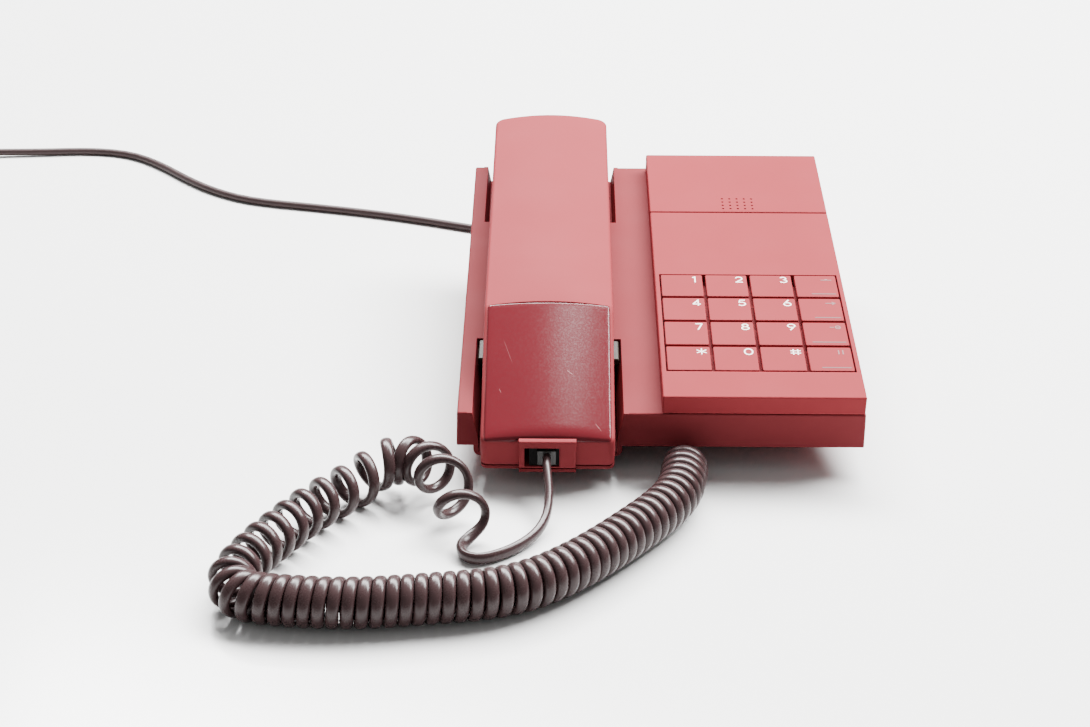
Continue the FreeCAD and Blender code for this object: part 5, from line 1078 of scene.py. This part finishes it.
def coil_controls():
    """Control points of the put-away coil: it spirals in and out, layer on layer, then runs to its plug.

    The radius is outer - step times the turns into the layer, counted back on every second layer.
    """
    turn = np.arange(0, COIL_TURNS + TINY, 1 / POINTS_PER_TURN)
    layer = np.floor(turn / COIL_LAYER_TURNS + TINY)
    into = turn - layer * COIL_LAYER_TURNS
    share = np.where(layer % 2 == 0, into, COIL_LAYER_TURNS - into)
    radius = COIL_OUTER - COIL_STEP * share
    climbs = np.arange(1, COIL_TURNS / COIL_LAYER_TURNS)[:, None] * COIL_LAYER_TURNS
    climbed = smooth_step((turn - climbs + COIL_CLIMB / 2) / COIL_CLIMB).sum(axis=0)
    angle = np.pi / 2 + 2 * np.pi * turn
    circle = np.stack([np.cos(angle), np.sin(angle)], axis=-1)
    points = np.c_[COIL_CENTRE + radius[:, None] * circle, COIL_FIRST_HEIGHT + COIL_STEP * climbed]
    way = unit(points[-1] - points[-2])
    rise = np.array([0.0, 0.0, COIL_RISE])
    level_way = unit(way * np.array([1.0, 1.0, 0.0]))
    run_half = points[-1] + way * COIL_RUN / 2 + rise / 2
    run_end = points[-1] + way * COIL_RUN + rise
    return np.concatenate([points, [run_half, run_end, run_end + level_way * COIL_END_STRAIGHT]])


def length_setting(name, description, millimetres):
    """A length that a user can change."""
    return bpy.props.FloatProperty(
        name=name, description=description, default=millimetres * MM, unit="LENGTH", precision=5)


def colour_setting(name, description, colour):
    """A colour that a user can change."""
    return bpy.props.FloatVectorProperty(name=name, description=description, default=colour, subtype="COLOR")


class TelephoneSizes(bpy.types.PropertyGroup):
    """Sizes that a user would change, with their defaults in millimetres."""

    shoulder: length_setting("Shoulder", "Radius along the handset's upper edges", 1.6)
    back_corner: length_setting("Back corner", "Radius of the handset's back corners", 5.0)
    front_corner: length_setting("Front corner", "Radius of the handset's front corners", 3.0)
    end_edge: length_setting("End edge", "Radius across the handset's end edges", 0.35)
    crease_edge: length_setting("Crease edge", "Radius of the grip's edge at the crease", 0.4)
    boss_edge: length_setting("Boss edge", "Radius round the jack boss", 0.6)
    cover_corner: length_setting("Cover corner", "Corner radius of the mouth cover", 1.2)
    cover_edge: length_setting("Cover edge", "Radius round the mouth cover's rim", 1.0)
    key_corner: length_setting("Key corner", "Corner radius of a key cap", 0.7)
    key_edge: length_setting("Key edge", "Radius round a key's top", 0.4)
    key_dish: length_setting("Key dish", "Depth of the dish in a key's top", 0.1)
    mark_height: length_setting("Mark height", "Height of the numbers on the keys", 4.75)
    mark_stroke: length_setting("Mark stroke", "Stroke width of the numbers", 0.56)
    cord_width: length_setting("Cord width", "Width of the flat handset cord", 4.8)
    cord_thickness: length_setting("Cord thickness", "Thickness of the flat handset cord", 3.4)
    line_diameter: length_setting("Line cord", "Diameter of the line cord", 4.0)


class TelephoneColours(bpy.types.PropertyGroup):
    """Colours that a user would change."""

    shell: colour_setting("Shell", "Red of the housing and handset", (0.19, 0.0275, 0.0325))
    # The mouth cover's red is darker than the shell's: partly its own deeper red, partly painted shade for
    # its forward slope
    cover: colour_setting("Mouth cover", "Red of the mouth cover", (0.088, 0.0085, 0.0125))
    key: colour_setting("Keys", "Red of the keys and panel", (0.185, 0.0222, 0.0268))
    flap: colour_setting("Hook flap", "Grey beige of the hook flap", (0.032, 0.026, 0.021))
    cord: colour_setting("Cords", "Brown grey of the cords", (0.029, 0.0155, 0.016))
    dark: colour_setting("Dark plastic", "Near black of the jack and sockets", (0.004, 0.0032, 0.0032))
    plug: colour_setting("Plugs", "Cloudy grey of the small plugs", (0.02, 0.018, 0.017))
    print: colour_setting("Numbers", "White of the printed numbers", (0.85, 0.78, 0.74))
    sign: colour_setting("Signs", "Grey of the printed signs", (0.19, 0.105, 0.105))
    floor: colour_setting("Floor", "White of the table", (0.69, 0.69, 0.685))


class TELEPHONE_OT_stage(bpy.types.Operator):
    """Set up the white table, the soft lights and the camera"""

    bl_idname = "telephone.stage"
    bl_label = "Stage"

    def execute(self, context):
        self.add_floor(context.scene.telephone_colours)
        self.add_lights(context)
        self.add_camera(context)
        return {"FINISHED"}

    def add_floor(self, colours):
        """White table top: a flat grid far larger than the view."""
        span = np.linspace(-TABLE_HALF, TABLE_HALF, TABLE_STEPS)
        x, y = np.meshgrid(span, span, indexing="ij")
        mesh = bpy.data.meshes.new("table_top")
        points = np.stack([x, y, np.zeros_like(x)], axis=-1).reshape(-1, 3)
        fill_mesh(mesh, points, grid_faces(x.shape, False)[:, ::-1], np.zeros((0, 3), int))
        add_piece("table_top", mesh, table_paint("table_white", colours.floor))

    def add_lights(self, context):
        """A bright wall of light behind, a small faint one overhead and a pale room all round."""
        world = bpy.data.worlds.new("pale_room")
        context.scene.world = world
        world.use_nodes = True
        background = world.node_tree.nodes["Background"]
        background.inputs["Color"].default_value = (1.0, 1.0, 1.0, 1.0)
        background.inputs["Strength"].default_value = ROOM_STRENGTH
        for name, (place, size, power) in SOFT_LIGHTS.items():
            self.add_light(context, name, place, size, power)

    def add_light(self, context, name, place, size, power):
        """Rectangular soft light that faces the telephone."""
        light = bpy.data.lights.new(name, "AREA")
        light.shape = "RECTANGLE"
        light.size, light.size_y = size
        light.energy = power
        lamp = bpy.data.objects.new(name, light)
        context.scene.collection.objects.link(lamp)
        lamp.location = place
        lamp.rotation_mode = "QUATERNION"
        lamp.rotation_quaternion = lamp.location.to_track_quat("Z", "Y")
        lamp.visible_camera = False

    def add_camera(self, context):
        """Camera at the photograph's place, pitch, yaw and roll."""
        data = bpy.data.cameras.new("camera")
        data.sensor_fit = "HORIZONTAL"
        data.sensor_width = SENSOR_WIDTH
        data.lens = LENS
        data.clip_start, data.clip_end = CLIP_RANGE
        camera = bpy.data.objects.new("camera", data)
        context.scene.collection.objects.link(camera)
        turn = Matrix.Rotation(CAMERA_YAW, 4, "Z") @ Matrix.Rotation(math.pi / 2 - CAMERA_PITCH, 4, "X")
        turn = turn @ Matrix.Rotation(CAMERA_ROLL, 4, "Z")
        camera.matrix_world = Matrix.Translation(CAMERA_PLACE) @ turn
        context.scene.camera = camera


class TELEPHONE_OT_handset_cord(bpy.types.Operator):
    """Make the curly handset cord in two lengths"""

    bl_idname = "telephone.handset_cord"
    bl_label = "Handset Cord"

    def execute(self, context):
        sizes = context.scene.telephone_sizes
        material = cord_rubber("handset_cord_rubber", context.scene.telephone_colours.cord, CURL_ROUGHNESS)
        curls, curl_thin, loose_point = curl_controls()
        tail, tail_thin = tail_controls()
        controls = np.concatenate([curls, tail])
        offsets = controls + np.concatenate([curl_thin, tail_thin]) * MM
        middle = nurbs_points("handset_cord_line", controls)
        thin = nurbs_points("handset_cord_side", offsets) - middle
        split = int(np.argmin(np.linalg.norm(middle - controls[loose_point], axis=1)))
        near, far = middle[:split + 1], middle[split:]
        tight = self.add_length("curly_cord", near, thin[:split + 1], sizes, material)
        loose = self.add_length("loose_cord", far, thin[split:], sizes, material)
        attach(tight, "base")
        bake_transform(loose)
        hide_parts("handset_cord_curls")
        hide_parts("handset_cord_tail")
        return {"FINISHED"}

    def add_length(self, name, points, thin, sizes, material):
        """One length of the flat cord."""
        wire = flat_wire(points, thin, sizes.cord_width, sizes.cord_thickness)
        mesh = surface_mesh(name, [wire], crease=CORD_CREASE)
        return add_piece(name, mesh, material, None)


class TELEPHONE_OT_line_cord(bpy.types.Operator):
    """Make the line cord and its put-away coil"""

    bl_idname = "telephone.line_cord"
    bl_label = "Line Cord"

    def execute(self, context):
        diameter = context.scene.telephone_sizes.line_diameter
        material = cord_rubber("line_cord_rubber", context.scene.telephone_colours.cord, LINE_ROUGHNESS)
        coil = coil_controls()
        before = coil[0] + np.array([COIL_RUN_IN, 0.0, 0.0])
        controls = np.concatenate([[LINE_EXIT], LINE_POINTS, [before], coil])
        curve = nurbs_curve("line_cord_free", controls)
        curve.bevel_depth = diameter / 2
        curve.bevel_resolution = LINE_BEVEL_STEPS
        curve.use_fill_caps = True
        replaced = ["line_cord", "line_cord_coil"]
        cord = add_piece("line_cord_free", curve, material, "base", replaced)
        length = path_length(nurbs_points("line_cord_measure", controls))
        return {"FINISHED"}


class TELEPHONE_OT_handset(bpy.types.Operator):
    """Make the handset's upper shell and its mouth cover"""

    bl_idname = "telephone.handset"
    bl_label = "Handset"

    def execute(self, context):
        sizes, colours = context.scene.telephone_sizes, context.scene.telephone_colours
        shell = moulded_plastic("handset_red", colours.shell, MOULDED_ROUGHNESS)
        mesh = surface_mesh("handset_top", [handset_grid(sizes)])
        add_piece("handset_top", mesh, shell, "handset", ["handset_upper_shell"])
        # The cover's darker red is partly its own colour and partly painted shade
        cover = glossy_plastic("mouth_cover_deep_shaded_red", colours.cover, COVER_ROUGHNESS)
        mesh = surface_mesh("mouth_plate", [mouth_cover_grid(sizes)])
        add_piece("mouth_plate", mesh, cover, "handset", ["mouth_cover"])
        return {"FINISHED"}


class TELEPHONE_OT_grille(bpy.types.Operator):
    """Make the field of small sound holes in the ringer cover"""

    bl_idname = "telephone.grille"
    bl_label = "Grille"

    def execute(self, context):
        material = moulded_plastic("grille_red", context.scene.telephone_colours.key, MOULDED_ROUGHNESS)
        mesh = surface_mesh("grille_field", [grille_grid()], wrap=False)
        add_piece("grille_field", mesh, material, "base")
        return {"FINISHED"}


class TELEPHONE_OT_keys(bpy.types.Operator):
    """Make the sixteen keys"""

    bl_idname = "telephone.keys"
    bl_label = "Keys"

    def execute(self, context):
        sizes = context.scene.telephone_sizes
        material = moulded_plastic("key_red", context.scene.telephone_colours.key, MOULDED_ROUGHNESS)
        for name, column, row in each_key():
            mesh = surface_mesh("cap_of_" + name, key_grids(column, row, sizes))
            add_piece("cap_of_" + name, mesh, material, name, [name])
        return {"FINISHED"}


class TELEPHONE_OT_marks(bpy.types.Operator):
    """Print the numbers, plain signs and bars on the keys"""

    bl_idname = "telephone.marks"
    bl_label = "Key Marks"

    def execute(self, context):
        sizes, colours = context.scene.telephone_sizes, context.scene.telephone_colours
        number_ink = printed_ink("number_ink", colours.print, NUMBER_COVER)
        sign_ink = printed_ink("sign_ink", colours.sign, SIGN_COVER)
        bar_ink = printed_ink("bar_ink", shade_of(colours.sign, BAR_TONE), BAR_COVER)
        numbers, signs = mark_strokes(), sign_strokes()
        for name, column, row in each_key():
            right = GRID_LEFT + (column + 1) * KEY_PITCH_X - KEY_GAP / 2
            back = GRID_FRONT + (row + 1) * KEY_PITCH_Y - KEY_GAP / 2
            if name in numbers:
                foot = np.array([right - MARK_IN, back - MARK_DOWN - sizes.mark_height])
                strokes = [stroke * sizes.mark_height + foot for stroke in numbers[name]]
                width = MARK_THIN if name in THIN_MARKS else sizes.mark_stroke
                self.print_mark(name, name, strokes, width, number_ink)
            else:
                foot = np.array([right - SIGN_HEIGHT, back - SIGN_DOWN - SIGN_HEIGHT])
                strokes = [stroke * SIGN_HEIGHT + foot for stroke in signs[name]]
                self.print_mark(name, name, strokes, SIGN_STROKE, sign_ink)
                low, end = back - KEY_PITCH_Y + KEY_GAP + BAR_UP, right - BAR_IN
                bar = line((end - BAR_LENGTHS[name], low), (end, low))
                self.print_mark(name + "_bar", name, [bar], BAR_STROKE, bar_ink)
        return {"FINISHED"}

    def print_mark(self, name, key, strokes, width, ink):
        """One mark: its strokes laid on the key's top."""
        mesh = surface_mesh("mark_of_" + name, [stroke_grid(stroke, width) for stroke in strokes])
        add_piece("mark_of_" + name, mesh, ink, key)


class TELEPHONE_OT_finishes(bpy.types.Operator):
    """Give every solid that still shows its own finish"""

    bl_idname = "telephone.finishes"
    bl_label = "Finishes"

    def execute(self, context):
        colours = context.scene.telephone_colours
        # The housing and the handset's lower shell take a darker copy of the shell's red: painted shade
        housing, under = (shade_of(colours.shell, tone) for tone in (HOUSING_SHADE_TONE, UNDERSIDE_TONE))
        finishes = {
            "housing": moulded_plastic("housing_shaded_red", housing, MOULDED_ROUGHNESS, WEAR_AND_HIGHLIGHT_RADIUS),
            "panel": moulded_plastic("panel_red", colours.key, MOULDED_ROUGHNESS, WEAR_AND_HIGHLIGHT_RADIUS),
            "under": moulded_plastic("underside_red", under, UNDERSIDE_ROUGHNESS),
            "flap": smooth_plastic("flap_grey", colours.flap, roughness=0.4, speck=0.06, gloss=0.1),
            "dark": smooth_plastic("dark_moulding", colours.dark, roughness=0.5, speck=0.2, gloss=0.04),
            "plug": clear_plastic("plug_grey", colours.plug),
            "rubber": soft_rubber("foot_rubber", FOOT_BLACK),
            "mat": soft_rubber("mat_rubber", MAT_GREY),
            "tie": soft_rubber("tie_rubber", TIE_GREY),
            "steel": plated_metal("screw_steel", STEEL_GREY, roughness=0.35),
            "can": plated_metal("capsule_metal", CAPSULE_GREY, roughness=0.3),
            "board": circuit_board("board_lacquer", BOARD_GREEN),
        }
        for kind, nodes in FINISHED_NODES.items():
            for node in nodes:
                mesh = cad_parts[node].data
                mesh.materials.clear()
                mesh.materials.append(finishes[kind])
        return {"FINISHED"}


class TELEPHONE_PT_pieces(bpy.types.Panel):
    """Sidebar list of the telephone's pieces"""

    bl_idname = "TELEPHONE_PT_pieces"
    bl_label = "Desk Telephone"
    bl_space_type = "VIEW_3D"
    bl_region_type = "UI"
    bl_category = "Telephone"

    def draw(self, context):
        for operator in OPERATORS:
            self.layout.operator(operator.bl_idname)


OPERATORS = (
    TELEPHONE_OT_stage, TELEPHONE_OT_handset_cord, TELEPHONE_OT_line_cord, TELEPHONE_OT_handset,
    TELEPHONE_OT_grille, TELEPHONE_OT_keys, TELEPHONE_OT_marks, TELEPHONE_OT_finishes,
)
CLASSES = (TelephoneSizes, TelephoneColours) + OPERATORS + (TELEPHONE_PT_pieces,)


def register():
    """Register the classes and hang the settings on the scene."""
    for entry in CLASSES:
        bpy.utils.register_class(entry)
    bpy.types.Scene.telephone_sizes = bpy.props.PointerProperty(type=TelephoneSizes)
    bpy.types.Scene.telephone_colours = bpy.props.PointerProperty(type=TelephoneColours)


def unregister():
    """Take the settings and classes away again."""
    del bpy.types.Scene.telephone_colours
    del bpy.types.Scene.telephone_sizes
    for entry in reversed(CLASSES):
        bpy.utils.unregister_class(entry)


def main():
    """Register and build every piece in order."""
    register()
    bpy.ops.telephone.stage()
    bpy.ops.telephone.handset_cord()
    bpy.ops.telephone.line_cord()
    bpy.ops.telephone.handset()
    bpy.ops.telephone.grille()
    bpy.ops.telephone.keys()
    bpy.ops.telephone.marks()
    bpy.ops.telephone.finishes()


if __name__ == "__main__":
    main()
